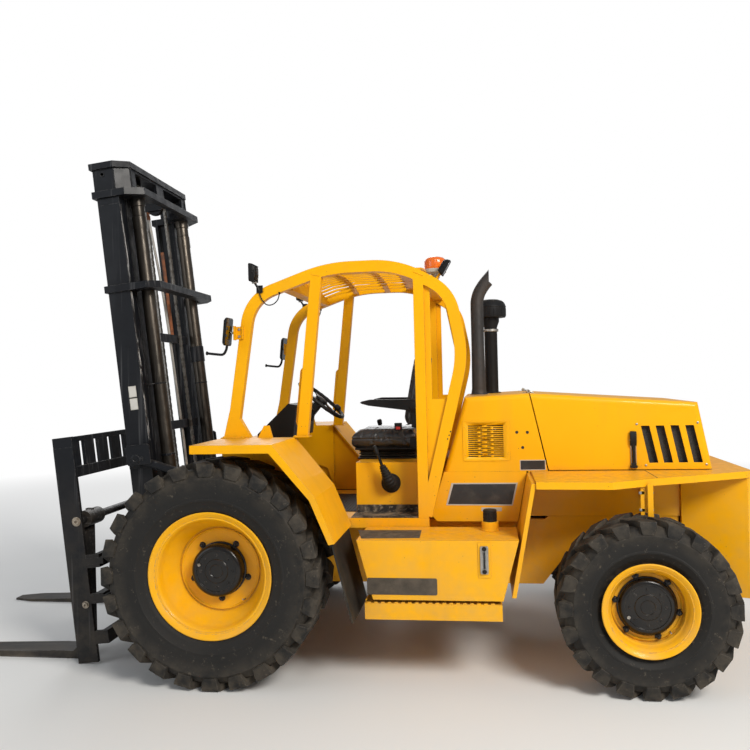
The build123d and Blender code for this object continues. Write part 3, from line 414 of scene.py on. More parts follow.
def tyre_rubber(name, node, radius, low_radius):
    f = Finish(name, (0.011, 0.0105, 0.0098), 0.66, Specular_IOR_Level=0.3)
    spot = f.node("VectorMath", f.place, tuple(middle(node)), operation="SUBTRACT").outputs[0]
    flat = f.node("VectorMath", spot, (1, 0, 1), operation="MULTIPLY").outputs[0]
    reach = f.node("VectorMath", flat, operation="LENGTH").outputs["Value"]
    blotch = f.noise(11, 6, rough=0.65)
    f.tint(f.patch(2.5, 4, 0.35, 0.75, 0.5), (0.026, 0.023, 0.020))
    tread = f.fit(reach, low_radius * MM, radius * MM)
    dusty = f.times(tread, f.fit(blotch, 0.38, 0.62))
    f.tint(f.times(dusty, 0.26), (0.25, 0.205, 0.15))
    groove = f.times(f.fit(f.open_air(70), 0.62, 0.3), f.patch(30, 4, 0.35, 0.65))
    f.tint(f.times(groove, 0.22), (0.22, 0.17, 0.12))
    splash = f.patch(34, 6, 0.60, 0.68, 0.45, rough=0.75)
    f.tint(f.times(splash, 0.6), (0.26, 0.21, 0.15))
    worn = f.times(f.worn_edges(7, 1.0), f.fit(reach, low_radius * MM, radius * MM, 0.15, 0.6))
    f.tint(worn, (0.21, 0.185, 0.15))
    f.roughen(dusty, 0.95)
    f.relief(f.noise(90, 4), 0.8, 0.5)
    f.relief(f.patch(14, 3, 0.5, 0.7), 2.0, 0.25)
    return f.done()


def soft_rubber():
    f = Finish("black rubber", (0.009, 0.009, 0.0088), 0.62, Specular_IOR_Level=0.25)
    f.dust_and_corner_shade(0.2, 0.2)
    f.soften(2.0)
    f.relief(f.noise(110, 3), 0.4, 0.4)
    return f.done()


def black_plastic():
    f = Finish("black plastic", (0.006, 0.006, 0.0066), 0.42, Specular_IOR_Level=0.28)
    f.roughen(f.patch(30, 4, 0.4, 0.7), 0.6)
    f.dust_and_corner_shade(0.15, 0.2)
    f.soften(2.0)
    f.relief(f.noise(420, 2), 0.15, 0.5)
    return f.done()


def hub_black():
    f = Finish("hub black", (0.0035, 0.0035, 0.004), 0.26, Coat_Weight=0.2, Specular_IOR_Level=0.3)
    f.tint(f.patch(14, 6, 0.55, 0.85, 0.3), (0.03, 0.026, 0.021))
    free = f.open_air(40)
    f.dust_and_corner_shade(0.05, 0.2, free=free)
    f.tint(f.times(f.worn_edges(2.5, free), 0.7), (0.25, 0.24, 0.22))
    f.relief(f.noise(90, 3), 0.5, 0.5)
    return f.done()


def chrome():
    f = Finish("chrome rod", (0.62, 0.66, 0.72), 0.12, Metallic=1.0)
    f.roughen(f.patch(40, 3, 0.45, 0.75, stretch=(0.05, 1, 0.05)), 0.28)
    f.tint(f.patch(9, 5, 0.62, 0.8, 0.4), (0.30, 0.27, 0.24))
    return f.done()


def zinc():
    f = Finish("zinc plate", (0.46, 0.45, 0.42), 0.38, Metallic=0.9)
    f.tint(f.patch(24, 5, 0.45, 0.75, 0.6), (0.27, 0.24, 0.20))
    f.roughen(f.patch(50, 4, 0.4, 0.7), 0.6)
    f.dust_and_corner_shade(0.35, 0.4)
    f.relief(f.noise(140, 2), 0.2, 0.3)
    return f.done()


def chain_steel():
    f = Finish("chain steel", (0.33, 0.31, 0.28), 0.34, Metallic=0.85)
    f.tint(f.patch(18, 5, 0.45, 0.7, 0.75), (0.10, 0.075, 0.055))
    f.roughen(f.patch(60, 3, 0.4, 0.7), 0.55)
    f.dust_and_corner_shade(0.2, 0.6)
    return f.done()


def rust():
    f = Finish("rust", (0.30, 0.10, 0.035), 0.85)
    f.tint(f.patch(26, 6, 0.4, 0.7), (0.13, 0.05, 0.025))
    f.tint(f.patch(7, 4, 0.55, 0.75, 0.8, stretch=(1, 1, 0.2)), (0.06, 0.045, 0.04))
    f.relief(f.noise(130, 5), 0.6, 0.6)
    return f.done()


def grit_pad():
    f = Finish("anti-slip pad", (0.050, 0.040, 0.031), 0.9)
    f.tint(f.patch(22, 5, 0.4, 0.7, 0.7), (0.10, 0.082, 0.062))
    grain = f.cells(420)
    f.tint(f.fit(grain, 0.1, 0.45, 0.0, 0.4), (0.025, 0.02, 0.016))
    f.dust_and_corner_shade(0.4, 0.3)
    f.relief(f.math("SUBTRACT", 1.0, grain), 1.2, 0.9)
    return f.done()


def seat_vinyl():
    f = Finish("seat vinyl", (0.020, 0.020, 0.021), 0.40, Coat_Weight=0.55, Coat_Roughness=0.12)
    f.roughen(f.patch(9, 4, 0.4, 0.7), 0.55)
    f.dust_and_corner_shade(0.16, 0.2)
    f.relief(f.cells(260), 0.35, 0.5)
    fold = f.node("TexNoise", f.place)
    fold.inputs["Scale"].default_value = 13
    fold.inputs["Detail"].default_value = 2.5
    fold.inputs["Distortion"].default_value = 1.6
    f.relief(f.fit(fold.outputs[0], 0.42, 0.6), 4.0, 0.5)
    return f.done()


def exhaust_steel():
    f = Finish("exhaust steel", (0.036, 0.034, 0.033), 0.48, Metallic=0.35)
    f.tint(f.patch(7, 6, 0.42, 0.7, 0.75, stretch=(1, 1, 0.4)), (0.075, 0.058, 0.048))
    f.roughen(f.patch(30, 4, 0.4, 0.7), 0.75)
    f.dust_and_corner_shade(0.15, 0.4)
    f.relief(f.noise(80, 4), 0.4, 0.5)
    return f.done()


def engine_black():
    f = Finish("engine bay", (0.014, 0.013, 0.012), 0.7)
    f.tint(f.patch(9, 5, 0.45, 0.75, 0.5), (0.045, 0.038, 0.03))
    f.relief(f.noise(60, 4), 1.0, 0.5)
    return f.done()


def amber_lens():
    f = Finish("amber lens", (0.95, 0.20, 0.015), 0.16, Transmission_Weight=0.25, IOR=1.49, Coat_Weight=0.4)
    f.roughen(f.patch(30, 4, 0.4, 0.8), 0.35)
    return f.done()


def clear_glass(name, color, mirror):
    f = Finish(name, color, 0.05, IOR=1.5)
    f.shader.inputs["Metallic"].default_value = 1.0 if mirror else 0.0
    f.shader.inputs["Transmission Weight"].default_value = 0.0 if mirror else 0.85
    f.roughen(f.patch(18, 6, 0.5, 0.85), 0.3)
    return f.done()


def red_plastic():
    f = Finish("red plastic", (0.55, 0.020, 0.012), 0.4)
    f.roughen(f.patch(60, 3, 0.4, 0.7), 0.6)
    return f.done()


def blank_sheet(name, color):
    f = Finish(name, color, 0.38)
    f.tint(f.patch(12, 5, 0.5, 0.8, 0.3), (0.16, 0.13, 0.10))
    f.dust_and_corner_shade(0.2, 0.2)
    return f.done()


def barrel_steel():
    f = Finish("cylinder barrel", (0.085, 0.072, 0.058), 0.30, Metallic=0.85)
    f.tint(f.patch(5, 5, 0.4, 0.7, stretch=(1, 1, 0.15)), (0.028, 0.025, 0.022))
    f.tint(f.patch(80, 3, 0.58, 0.7, 0.35, stretch=(1, 1, 0.05)), (0.20, 0.18, 0.15))
    f.roughen(f.patch(24, 4, 0.4, 0.7), 0.45)
    f.relief(f.noise(120, 2), 0.2, 0.3)
    return f.done()


def scraped_paint():
    f = Finish("scraped paint", (0.010, 0.010, 0.012), 0.4)
    rub = f.patch(70, 4, 0.50, 0.56, stretch=(1, 1, 0.06), rough=0.7)
    rub = f.times(rub, f.patch(9, 3, 0.38, 0.5, stretch=(1, 1, 0.4)))
    f.tint(rub, (0.55, 0.55, 0.54))
    f.roughen(rub, 0.3)
    return f.done()


def muddy_mat():
    f = Finish("floor mat", (0.020, 0.018, 0.016), 0.85)
    f.tint(f.patch(7, 6, 0.44, 0.62, 0.85, stretch=(1, 1, 1), rough=0.7), (0.27, 0.215, 0.145))
    f.tint(f.patch(60, 4, 0.55, 0.7, 0.5), (0.40, 0.34, 0.25))
    f.relief(f.noise(70, 5), 1.0, 0.6)
    return f.done()


def webbing():
    f = Finish("belt webbing", (0.022, 0.022, 0.024), 0.8, Sheen_Weight=0.3)
    f.tint(f.patch(30, 4, 0.4, 0.7, 0.5), (0.05, 0.048, 0.045))
    f.relief(f.noise(700, 1, (1, 0.2, 1)), 0.4, 0.8)
    return f.done()


def old_bolt():
    f = Finish("worn bolt", (0.40, 0.35, 0.28), 0.5, Metallic=0.6)
    f.tint(f.patch(60, 5, 0.42, 0.7), (0.17, 0.12, 0.08))
    f.dust_and_corner_shade(0.3, 0.6)
    f.relief(f.noise(160, 3), 0.3, 0.5)
    return f.done()


def mesh_liner():
    f = Finish("dark screen", (0.010, 0.010, 0.011), 0.6)
    wires = f.fit(f.cells(160), 0.35, 0.5)
    f.tint(f.times(wires, 0.6), (0.05, 0.047, 0.042))
    f.relief(wires, 1.0, 0.8)
    return f.done()


yellow = yellow_paint()
wheel_yellow = wheel_paint()
mast_black = mast_paint()
fork_dark = fork_steel()
rubber = soft_rubber()
plastic = black_plastic()
hub_dark = hub_black()
chromed = chrome()
zinced = zinc()
chain_dark = chain_steel()
rusty = rust()
pad_grit = grit_pad()
vinyl = seat_vinyl()
stack_steel = exhaust_steel()
bay_black = engine_black()
amber = amber_lens()
lamp_glass = clear_glass("lamp glass", (0.9, 0.92, 0.95), False)
mirror_glass = clear_glass("mirror glass", (0.10, 0.11, 0.12), True)
signal_red = red_plastic()
plate_black = blank_sheet("blank plate", (0.018, 0.018, 0.019))
plate_pale = blank_sheet("pale plate", (0.62, 0.60, 0.55))
belt_web = webbing()
barrel = barrel_steel()
scraped = scraped_paint()
mat_mud = muddy_mat()
rust_bolt = old_bolt()
liner_black = mesh_liner()
border_grey = blank_sheet("plate border", (0.50, 0.48, 0.42))
front_rubber = tyre_rubber("front tyre rubber", "front_rim_left", 637, 470)
rear_rubber = tyre_rubber("rear tyre rubber", "rear_rim_left", 472, 330)

node_finishes = {
    "yellow_paint": yellow, "black_paint": mast_black, "tyre_rubber": front_rubber, "black_rubber": rubber,
    "chain_steel": chain_dark, "chrome_rod": chromed, "black_plastic": plastic, "seat_vinyl": vinyl,
    "orange_lens": amber, "engine_paint": bay_black}
own_finishes = {"fork_left": fork_dark, "fork_right": fork_dark, "exhaust_stack": stack_steel,
                "lift_cylinders": barrel, "tilt_rod_left": mast_black, "tilt_rod_right": mast_black}
slot_of = {row["node"]: row["material_slot"] for row in frame["record"]["subparts"]}
for name, node in frame["nodes"].items():
    node.data.materials.clear()
    node.data.materials.append(own_finishes.get(name, node_finishes[slot_of[name]]))


# Wheels: half is half the width, lip is where the flange ends, and disc and drum count outwards from the
# wheel's middle plane
tyre_sizes = {
    "front": {"radius": 637.0, "half": 222.5, "seat": 318.0, "flange": 360.0, "height": 38, "bars": 24,
              "wide": 106, "lean": 112},
    "rear": {"radius": 472.0, "half": 154.0, "seat": 216.0, "flange": 250.0, "height": 32, "bars": 20,
             "wide": 94, "lean": 92}}
rim_sizes = {
    "front": {"seat": 318.0, "flange": 360.0, "lip": 193.0, "disc": -8.0, "disc_r": 237.0, "drum": 70.0,
              "nuts": 5, "circle": 172.0, "first_nut": 0.66, "plug": (102, 36)},
    "rear": {"seat": 216.0, "flange": 250.0, "lip": 160.0, "disc": 40.0, "disc_r": 186.0, "drum": 84.0,
             "nuts": 6, "circle": 170.0, "first_nut": 0.33, "plug": (101, -52)}}


def tread_bars(piece, radius, half, count, wide, lean, height):
    """Chunky bars, staggered from side to side, that climb the shoulder and slant to the middle."""
    base = radius - height
    # of each station: distance out and radius of its top, then of its foot, width, and slant
    stations = (
        (half - 2, radius - 74, half - 16, radius - 80, 0.78, 0.0),
        (half, radius - 30, half - 20, radius - 50, 0.98, 0.0),
        (half - 8, radius - 5, half - 34, base, 1.0, 0.0),
        (half - 26, radius, half - 44, base, 1.0, 0.08),
        (half * 0.5, radius, half * 0.5, base, 0.92, 0.55),
        (11, radius, 11, base, 0.80, 1.0))
    for row in (1, -1):
        for k in range(count):
            turn = 2 * pi * (k + (0.5 if row < 0 else 0)) / count
            rings = []
            for out, top, foot_out, foot, share, slant in stations:
                middle_turn = turn + slant * lean / radius
                swing = wide * share / 2 / radius
                corners = ((-swing * 1.08, foot_out, foot), (-swing * 0.94, out, top),
                           (swing * 0.94, out, top), (swing * 1.08, foot_out, foot))
                rings.append([piece.place(r * sin(middle_turn + t), row * y, r * cos(middle_turn + t))
                              for t, y, r in corners])
            piece.rings(rings)


def tyre(name, body, centre, side, finish, radius, half, seat, flange, height, bars, wide, lean):
    base = radius - height
    piece = Piece(name + "_tread", at_wheel(centre, side))
    rib = flange + 0.26 * (base - flange)
    outer = [(seat + 1, half - 48), (flange - 16, half - 46), (flange + 4, half - 38),
             (flange + 14, half - 26), (flange + 26, half - 20), (rib, half - 9), (rib + 3, half - 6),
             (rib + 12, half - 5), (rib + 15, half - 8), (rib + 50, half - 4), (base - 62, half - 6),
             (base - 56, half - 3), (base - 46, half - 4), (base - 40, half - 12), (base - 16, half - 26),
             (base - 2, half - 44), (base + 3, half * 0.4)]
    section = outer + [(r, -out) for r, out in reversed(outer)]
    piece.turned(section, sides=96, loop=True)
    tread_bars(piece, radius, half, bars, wide, lean, height)
    return piece.make(body, [finish], "tyre_rubber", (name,), bevel=5)


def wheel(name, body, centre, side, seat, flange, lip, disc, disc_r, drum, nuts, circle, first_nut, plug):
    piece = Piece(name + "_wheel", at_wheel(centre, side))
    inside = seat - 12
    bead = lip - 17
    section = [
        (seat, bead), (flange - 18, bead + 2), (flange - 5, bead + 5), (flange, bead + 10),
        (flange - 1, lip - 2), (flange - 6, lip), (flange - 12, lip - 3), (flange - 22, lip - 9),
        (seat - 2, bead - 6), (inside - 1, bead - 22), (inside - 2, bead * 0.72), (inside - 12, bead * 0.62),
        (disc_r + 18, disc + 26), (disc_r + 9, disc + 14), (disc_r + 8, disc + 1), (disc_r + 1, disc + 1),
        (disc_r, disc + 7), (disc_r - 6, disc + 9), (disc_r - 12, disc), (60, disc), (60, disc - 8),
        (disc_r + 12, disc - 8), (disc_r + 30, disc + 20), (inside - 2, bead * 0.55), (inside, -bead + 26),
        (flange - 26, -lip + 4), (flange - 6, -lip), (flange, -lip + 6), (flange - 14, -bead - 2),
        (seat, -bead)]
    piece.turned(section, sides=96, loop=True)
    # hub drum with its rim, cover and plug
    hub = [(150, disc - 4), (151, drum - 22), (148, drum - 12), (138, drum - 3), (126, drum), (119, drum),
           (116, drum - 6), (70, drum - 6), (66, drum - 2), (40, drum - 1), (36, drum - 5), (0, drum - 5)]
    piece.turned(hub, sides=64, mark=1)
    piece.turned([(158, disc - 2), (158, disc + 9), (150, disc + 12)], sides=48, mark=1)
    for t in turns(nuts, first_nut):
        spot = (circle * sin(t), disc, circle * cos(t))
        piece.bolt(spot, (0, 1, 0), 15, 17, mark=1)
        piece.turned([(8, 16), (8, 27), (6, 29)], spot, (0, 1, 0), 12, mark=1)
    for t in turns(8):
        piece.bolt((94 * sin(t), drum - 6, 94 * cos(t)), (0, 1, 0), 7, 6, mark=1)
    spot = (plug[0], drum, plug[1])
    piece.turned([(9, -2), (9, 3), (6, 3), (5, 0), (0, 0)], spot, (0, 1, 0), 20, mark=2)
    # valve stem that bends out of the barrel
    stem = [(disc_r * 0.96, disc), (disc_r * 0.96, disc + 22), (disc_r * 0.93, disc + 46)]
    piece.tube(bend([(r * cos(4.0), y, r * sin(4.0)) for r, y in stem], 4), 4, mark=2)
    return piece.make(body, [wheel_yellow, hub_dark, zinced], "yellow_paint", (name,), bevel=1.6)


for label, side in (("left", 1), ("right", -1)):
    for end, finish in (("front", front_rubber), ("rear", rear_rubber)):
        hub_spot = middle(end + "_rim_" + label)
        body = end + "_wheel_" + label
        # the wheel's middle plane is the tyre's
        hub_spot.y = middle(end + "_tyre_" + label).y
        tyre(end + "_tyre_" + label, body, hub_spot, side, finish, **tyre_sizes[end])
        wheel(end + "_rim_" + label, body, hub_spot, side, **rim_sizes[end])


# Chains: leaves between pins, from the anchors on the foot tie, over the sheaves and down to the carriage
chain_foot = 304.0
chain_r = 70.3
pitch = 25.4
leaf_half = 7.6
leaf_step = 4.5
leaf_t = 1.9
pin_r = 3.4
pin_half = 16.3
foot_anchor = 290.2
front_anchor = 795.2
# numbers of the pins where the chain's runs begin and end
first_moving = 27
first_arc = 108
first_front = 118
last_pin = 205


def chain_spot(k):
    """Where a pin lies on the mast: how far forward, and how far along."""
    reach = k * pitch
    rise = sheave_s - chain_foot
    turn = (reach - rise) / chain_r
    if turn < 0:
        return Vector((sheave_a - chain_r, chain_foot + reach))
    if turn < pi:
        return Vector((sheave_a - chain_r * cos(turn), sheave_s + chain_r * sin(turn)))
    return Vector((sheave_a + chain_r, sheave_s - (turn - pi) * chain_r))


def leaf_chain(name, body, first, last, fit, hides):
    """Two strands of stacked leaves; fit shrinks the strand that shows only when the mast is up."""
    piece = Piece(name, on_mast)
    for y in (-chain_y, chain_y):
        for k in range(first, last):
            a, b = chain_spot(k), chain_spot(k + 1)
            along = (b - a).normalized()
            across = Vector((-along.y, along.x))
            outline = []
            for centre, way in ((b, 1), (a, -1)):
                for t in (-1.2, -0.45, 0.45, 1.2):
                    outline.append(centre + (along * cos(t) + across * sin(t)) * way * leaf_half * fit)
            for row in ((-3, -1, 1, 3) if k % 2 else (-2, 0, 2)):
                leaf = y + row * leaf_step
                piece.prism(outline, leaf - leaf_t * fit, leaf + leaf_t * fit)
        for k in range(first, last + 1):
            spot = chain_spot(k)
            pin = [(pin_r * fit, -pin_half), (pin_r * fit, pin_half)]
            piece.turned(pin, (spot.x, y, spot.y), (0, 1, 0), 8, 1)
    return piece.make(body, [chain_dark, zinced], "chain_steel", hides)


leaf_chain("chain_rear_strands", "mast_outer", 0, first_arc, 1.0, ("chain_rear_runs",))
leaf_chain("chain_sheave_strands", "mast_inner", first_moving, first_front, 0.97, ("chain_over_sheaves",))
front_strands = leaf_chain("chain_front_strands", "mast_inner", first_front, last_pin, 1.0,
                           ("chain_front_runs",))


def chain_ends(name, body, pin, foot, pin_a):
    """Clevis plates round the last pin of each chain, with the pin's head at each end."""
    piece = Piece(name, on_mast)
    for y in (-chain_y, chain_y):
        for side in (-1, 1):
            piece.prism([(pin_a - 11, foot), (pin_a + 11, foot), (pin_a + 11, pin), (pin_a + 7, pin + 10),
                         (pin_a - 7, pin + 10), (pin_a - 11, pin)], y + side * 17.2, y + side * 22)
            piece.turned([(9, 22), (9, 25), (7, 26)], (pin_a, y, pin), (0, side, 0), 12, 1)
    return piece.make(body, [mast_black, zinced], "black_paint", bevel=1)


top_pin = on_mast(sheave_a + chain_r, 0, sheave_s)
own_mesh(front_strands)

chain_ends("chain_clevis_rear", "mast_outer", chain_foot, foot_anchor, sheave_a - chain_r)
chain_ends("chain_clevis_front", "carriage", chain_spot(last_pin).y, front_anchor, sheave_a + chain_r)


# Lift rods, and the glands and bands of their cylinders
cyl_a = -204.0
cyl_y = 385.0
rod_r = 28.05
barrel_r = 44.2
rail_top = 2949.0


def lift_rods():
    piece = Piece("lift_rods", on_mast)
    for y in (-cyl_y, cyl_y):
        piece.turned([(rod_r, 650), (rod_r, rail_top)], (cyl_a, y, 0), up_axis, 32)
    return piece.make("mast_inner", [chromed], "chrome_rod")


def cylinder_fittings():
    piece = Piece("cylinder_fittings", on_mast)
    for side in (-1, 1):
        y = side * cyl_y
        foot = (cyl_a, y, 0)
        # gland, and the bands round the barrel
        gland = [(44.1, 2752), (45, 2754), (45, 2828), (44, 2830.5), (33, 2831), (32, 2824)]
        piece.turned(gland, foot, up_axis, 40, 2)
        for joint in ([(44.3, 128), (54, 130), (54, 168), (46, 176), (barrel_r, 176)],
                      [(barrel_r, 1232), (46, 1234), (46, 1246), (barrel_r, 1248)],
                      [(barrel_r, 1709), (46, 1710), (46, 1718), (barrel_r, 1719)]):
            piece.turned(joint, foot, up_axis, 40)
        # band that holds the barrel to the rail's flange
        band = [(cyl_a - 30, y + side * 38, 1714), (-176, y + side * 52, 1714), (-151, 500 * side, 1714)]
        piece.tube(bend(band, 4), 3, sides=8)
        # oil port with its elbow
        port = [(cyl_a, y - side * 40, 205), (cyl_a, y - side * 62, 205), (cyl_a - 14, y - side * 80, 212)]
        piece.tube(bend(port, 4), 11, 1, 12)
        piece.turned([(15, -4), (15, 8)], (cyl_a, y - side * 52, 205), (0, -side, 0), 6, 1)
    collar = [(barrel_r, 1872), (49, 1874), (49, 1988), (barrel_r, 1990)]
    piece.turned(collar, (cyl_a, -cyl_y, 0), up_axis, 40)
    return piece.make("mast_outer", [mast_black, zinced, barrel], "black_paint")


lift_rods()
cylinder_fittings()

# Pipes of the carriage's hydraulics, clamped to the ties between the inner rails
pipe_a = -119.0
pipe_route = [(24, 2910), (-8, 2720), (-58, 2450), (-88, 2150), (-94, 2010), (-112, 1500), (-116, 1400),
              (-118, 800), (-118, 330)]
rust_y = -152.0
tie_front = -130.0
ties = (330.0, 1425.0, 2045.0)


def pipe_y(s):
    """How far to the side the pipes run, at a place along the mast."""
    for (y0, s0), (y1, s1) in zip(pipe_route, pipe_route[1:]):
        if s0 >= s >= s1:
            return y0 + (y1 - y0) * (s0 - s) / (s0 - s1)
    return pipe_route[-1][0]


def mast_pipes():
    piece = Piece("mast_pipes", on_mast)
    for off in (-8.5, 8.5):
        line = bend([(pipe_a, y + off, s) for y, s in pipe_route], 6)
        piece.tube(line, 6.5, sides=10)
        top = Vector((pipe_a, pipe_route[0][0] + off, 2905))
        piece.turned([(9, -8), (10.5, -6), (10.5, 22), (8, 24)], top, up_axis, 6, 1)
        piece.tube(bend([top + Vector(p) for p in ((0, 0, 22), (0, 0, 34), (0, off, 44.8))], 4), 6.5, 1, 10)
        piece.turned([(9, -30), (10, -28), (10, 4), (7, 6)], (pipe_a, line[-1].y, 330), up_axis, 6, 1)
    for s in ties:
        y = pipe_y(s)
        piece.box((tie_front + 0.2, y - 26, s - 14), (pipe_a + 9, y + 26, s + 14), 2)
        for side in (-1, 1):
            piece.bolt((pipe_a + 9, y + side * 20, s), (1, 0, 0), 5, 5)
    # steel tube, rusty above the upper tie and painted below it
    for top, low, mark in ((2690, 2058, 1), (2058, 1400, 2)):
        piece.tube([(tie_front + 13, rust_y, top), (tie_front + 13, rust_y, low)], 12.2, mark, 20)
    for s in ties[1:]:
        piece.box((tie_front + 0.2, rust_y - 24, s - 12), (tie_front + 6, rust_y + 24, s + 12), 2)
        piece.tube([(tie_front + 3, rust_y - 15, s), (tie_front + 27, rust_y - 10, s),
                    (tie_front + 27, rust_y + 10, s), (tie_front + 3, rust_y + 15, s)], 3, sides=8)
    return piece.make("mast_inner", [zinced, rusty, mast_black], "chain_steel")


mast_pipes()


# Small parts of the outer mast and the crosshead
def mast_trim():
    piece = Piece("mast_trim", on_mast)
    cheek_y = 625
    pin_s = 1243
    for side in (-1, 1):
        out = side * 540.2
        # two bare plates on the rail, each with a line round it
        for s0, s1 in ((1558, 1632), (1640, 1712)):
            piece.box((-108, out, s0), (-56, out + side * 1.2, s1), 2)
            piece.box((-104, out, s0 + 4), (-60, out + side * 1.6, s1 - 4), 3)
        # rail's top, up to the crosshead: web and both flanges
        for a0, a1, y0, y1 in ((-150, 0, 522, 540), (-20, 0, 455, 523), (-150, -130, 455, 523)):
            piece.box((a0, side * y0, 2904), (a1, side * y1, rail_top))
        # paint rubbed off the rear flange
        for s0, s1 in ((1350, 2325), (2380, 2900)):
            piece.box((-150.9, side * 512, s0), (-149.9, side * 536, s1), 1)
        # outer cheek of the tilt bracket, with its web, pin and keeper
        cheek = [(-186, 1206), (-34, 1206), (-28, 1216), (-28, 1322), (-36, 1334), (-172, 1334), (-186, 1320)]
        piece.prism(cheek, side * (cheek_y - 12), side * cheek_y)
        piece.box((-29, side * 555, 1216), (-17, side * 614, 1322))
        pin = [(30, 0), (30, 5), (26, 7), (13, 7), (12, 3), (0, 3)]
        piece.turned(pin, (-84, side * cheek_y, pin_s), (0, side, 0), 32)
        piece.box((-136, side * cheek_y, pin_s - 12), (-106, side * (cheek_y + 4), pin_s + 12))
        piece.bolt((-122, side * (cheek_y + 4), pin_s), (0, side, 0), 6, 5)
    return piece.make("mast_outer", [mast_black, scraped, border_grey, plate_pale], "black_paint", bevel=0.6)


def crosshead_trim():
    piece = Piece("crosshead_trim", on_mast)
    for side in (-1, 1):
        # welds down the wall's corners, and a hole's rim
        for a, y in ((-133, 541), (-219, 471)):
            piece.tube([(a, side * y, 2996), (a, side * y, 3138)], 5, sides=8)
        rim = [(17, 0), (17, 3), (11, 3), (10, -3), (0, -3)]
        piece.turned(rim, (-55, side * 540, 3105), (0, side, 0), 24)
        # sleeve over the rod's end, as wide as the barrel below it
        sleeve = [(30, 2833), (43.5, 2833), (barrel_r, 2838), (barrel_r, 2896), (49, 2900),
                  (49, rail_top + 0.5)]
        piece.turned(sleeve, (cyl_a, side * cyl_y, 0), up_axis, 40, 1)
    return piece.make("mast_inner", [mast_black, barrel], "black_paint")


mast_trim()
crosshead_trim()


plate_y = 790.0


# Load backrest, whose flat bars are broad with narrow gaps, and the tops of the side plates. step is from
# one bar's middle to the next.
def backrest():
    piece = Piece("backrest_bars", on_mast)
    half = 765
    low_bar = 1250
    top_bar = 1405
    top = 1438
    step = 185
    piece.box((246, -half, top_bar), (276, half, top))
    piece.box((246, -half, 1183), (276, half, low_bar))
    for k in range(-3, 4):
        piece.box((248, step * k - 62, low_bar - 1), (272, step * k + 62, top_bar + 1))
    for side in (-1, 1):
        piece.box((248, side * 678, low_bar - 1), (272, side * half, top_bar + 1))
        piece.box((236, side * half, top - 64), (366, side * plate_y, top + 2))
    return piece.make("carriage", [mast_black], "black_paint", ("load_backrest",), bevel=1.5)


backrest()


# Nuts at the ends of the carriage's shaft and stop rod, and its rollers' caps
def carriage_trim():
    piece = Piece("carriage_trim", on_mast)
    for side in (-1, 1):
        for a, s, r in ((268, 913, 19), (272, 398, 15)):
            rim = [(r * 1.5, 0.2), (r * 1.5, 4), (r * 1.3, 5), (r * 1.05, 5), (r * 1.05, 12), (r * 0.8, 14),
                   (r * 0.45, 14), (r * 0.4, 8), (0, 8)]
            piece.turned(rim, (a, side * plate_y, s), (0, side, 0), 24, 1)
        for s in (230, 760):
            piece.turned([(30, 0), (30, 4), (22, 6), (0, 6)], (-75, side * 392, s), (0, side, 0), 24)
    return piece.make("carriage", [mast_black, rust_bolt], "black_paint")


carriage_trim()


# Forks' hooks: a stop plate on top of each eye
def fork_trim(label):
    low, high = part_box("fork_" + label)
    centre = (low + high) / 2
    piece = Piece("fork_lock_" + label)
    x = (low.x - axle_x) / MM
    y = centre.y / MM
    z = high.z / MM
    piece.box((x + 35, y - 16, z - 14), (x + 80, y + 16, z + 4))
    return piece.make("fork_" + label, [fork_dark], "black_paint", bevel=1.5)


fork_trim("left")
fork_trim("right")


# Tilt cylinders: gland rings, ports and short steel pipes on each barrel
def tilt_trim(label, side):
    foot = Vector((-300, side * 590, 933))
    tip = Vector((660, side * 590, 1245))
    along = (tip - foot).normalized()
    up = Vector((-along.z, 0, along.x))
    piece = Piece("tilt_fittings_" + label)
    barrel = 50.2
    for reach, r in ((90, 58), (640, 60), (690, 58)):
        piece.turned([(barrel, -9), (r, -7), (r, 7), (barrel, 9)], foot + along * reach, along, 40)
    for reach in (130, 610):
        spot = foot + along * reach + up * (barrel - 4)
        piece.turned([(13, 0), (13, 18), (10, 20)], spot, up, 6, 1)
    run = [foot + along * 130 + up * 70, foot + along * 160 + up * 78, foot + along * 400 + up * 66,
           foot + along * 590 + up * 78, foot + along * 610 + up * 70]
    piece.tube(bend(run, 6), 6, 1, 10)
    return piece.make("tilt_barrel_" + label, [mast_black, zinced], "black_paint")


tilt_trim("left", 1)
tilt_trim("right", -1)


# Engine cowl and its lid: bent sheets whose holes are cut through both sides
hood_outline = [(-1822, 1610), (-2800, 1536), (-2874, 1141), (-1924, 1141)]
cowl_outline = [(-1425, 1594), (-1816, 1610), (-1918, deck_top), (-1290, deck_top)]
sheet_t = 5.0
vent_x = -2468.0
vent_step = 84.4
slot_x = (-1442.0, -1656.0)
slot_z = 1226.0
slot_step = 12.4
plate_low = (-1696.0, 1200.0)
plate_high = (-1408.0, 1450.0)
hinge = (-1819.0, 0.0, 1620.5)


def keep_modified(made):
    """Writes a piece's modifiers into its mesh."""
    bpy.context.view_layer.update()
    seen = made.evaluated_get(bpy.context.evaluated_depsgraph_get())
    mesh = bpy.data.meshes.new_from_object(seen)
    made.modifiers.clear()
    made.data = mesh


def cut(made, cutter):
    """Cuts a piece's shape out of another, and removes it."""
    tool = cutter.make("chassis", [], "yellow_paint")
    carve = made.modifiers.new("cut", "BOOLEAN")
    carve.operation = "DIFFERENCE"
    carve.solver = "EXACT"
    carve.object = tool
    keep_modified(made)
    bpy.data.objects.remove(tool)


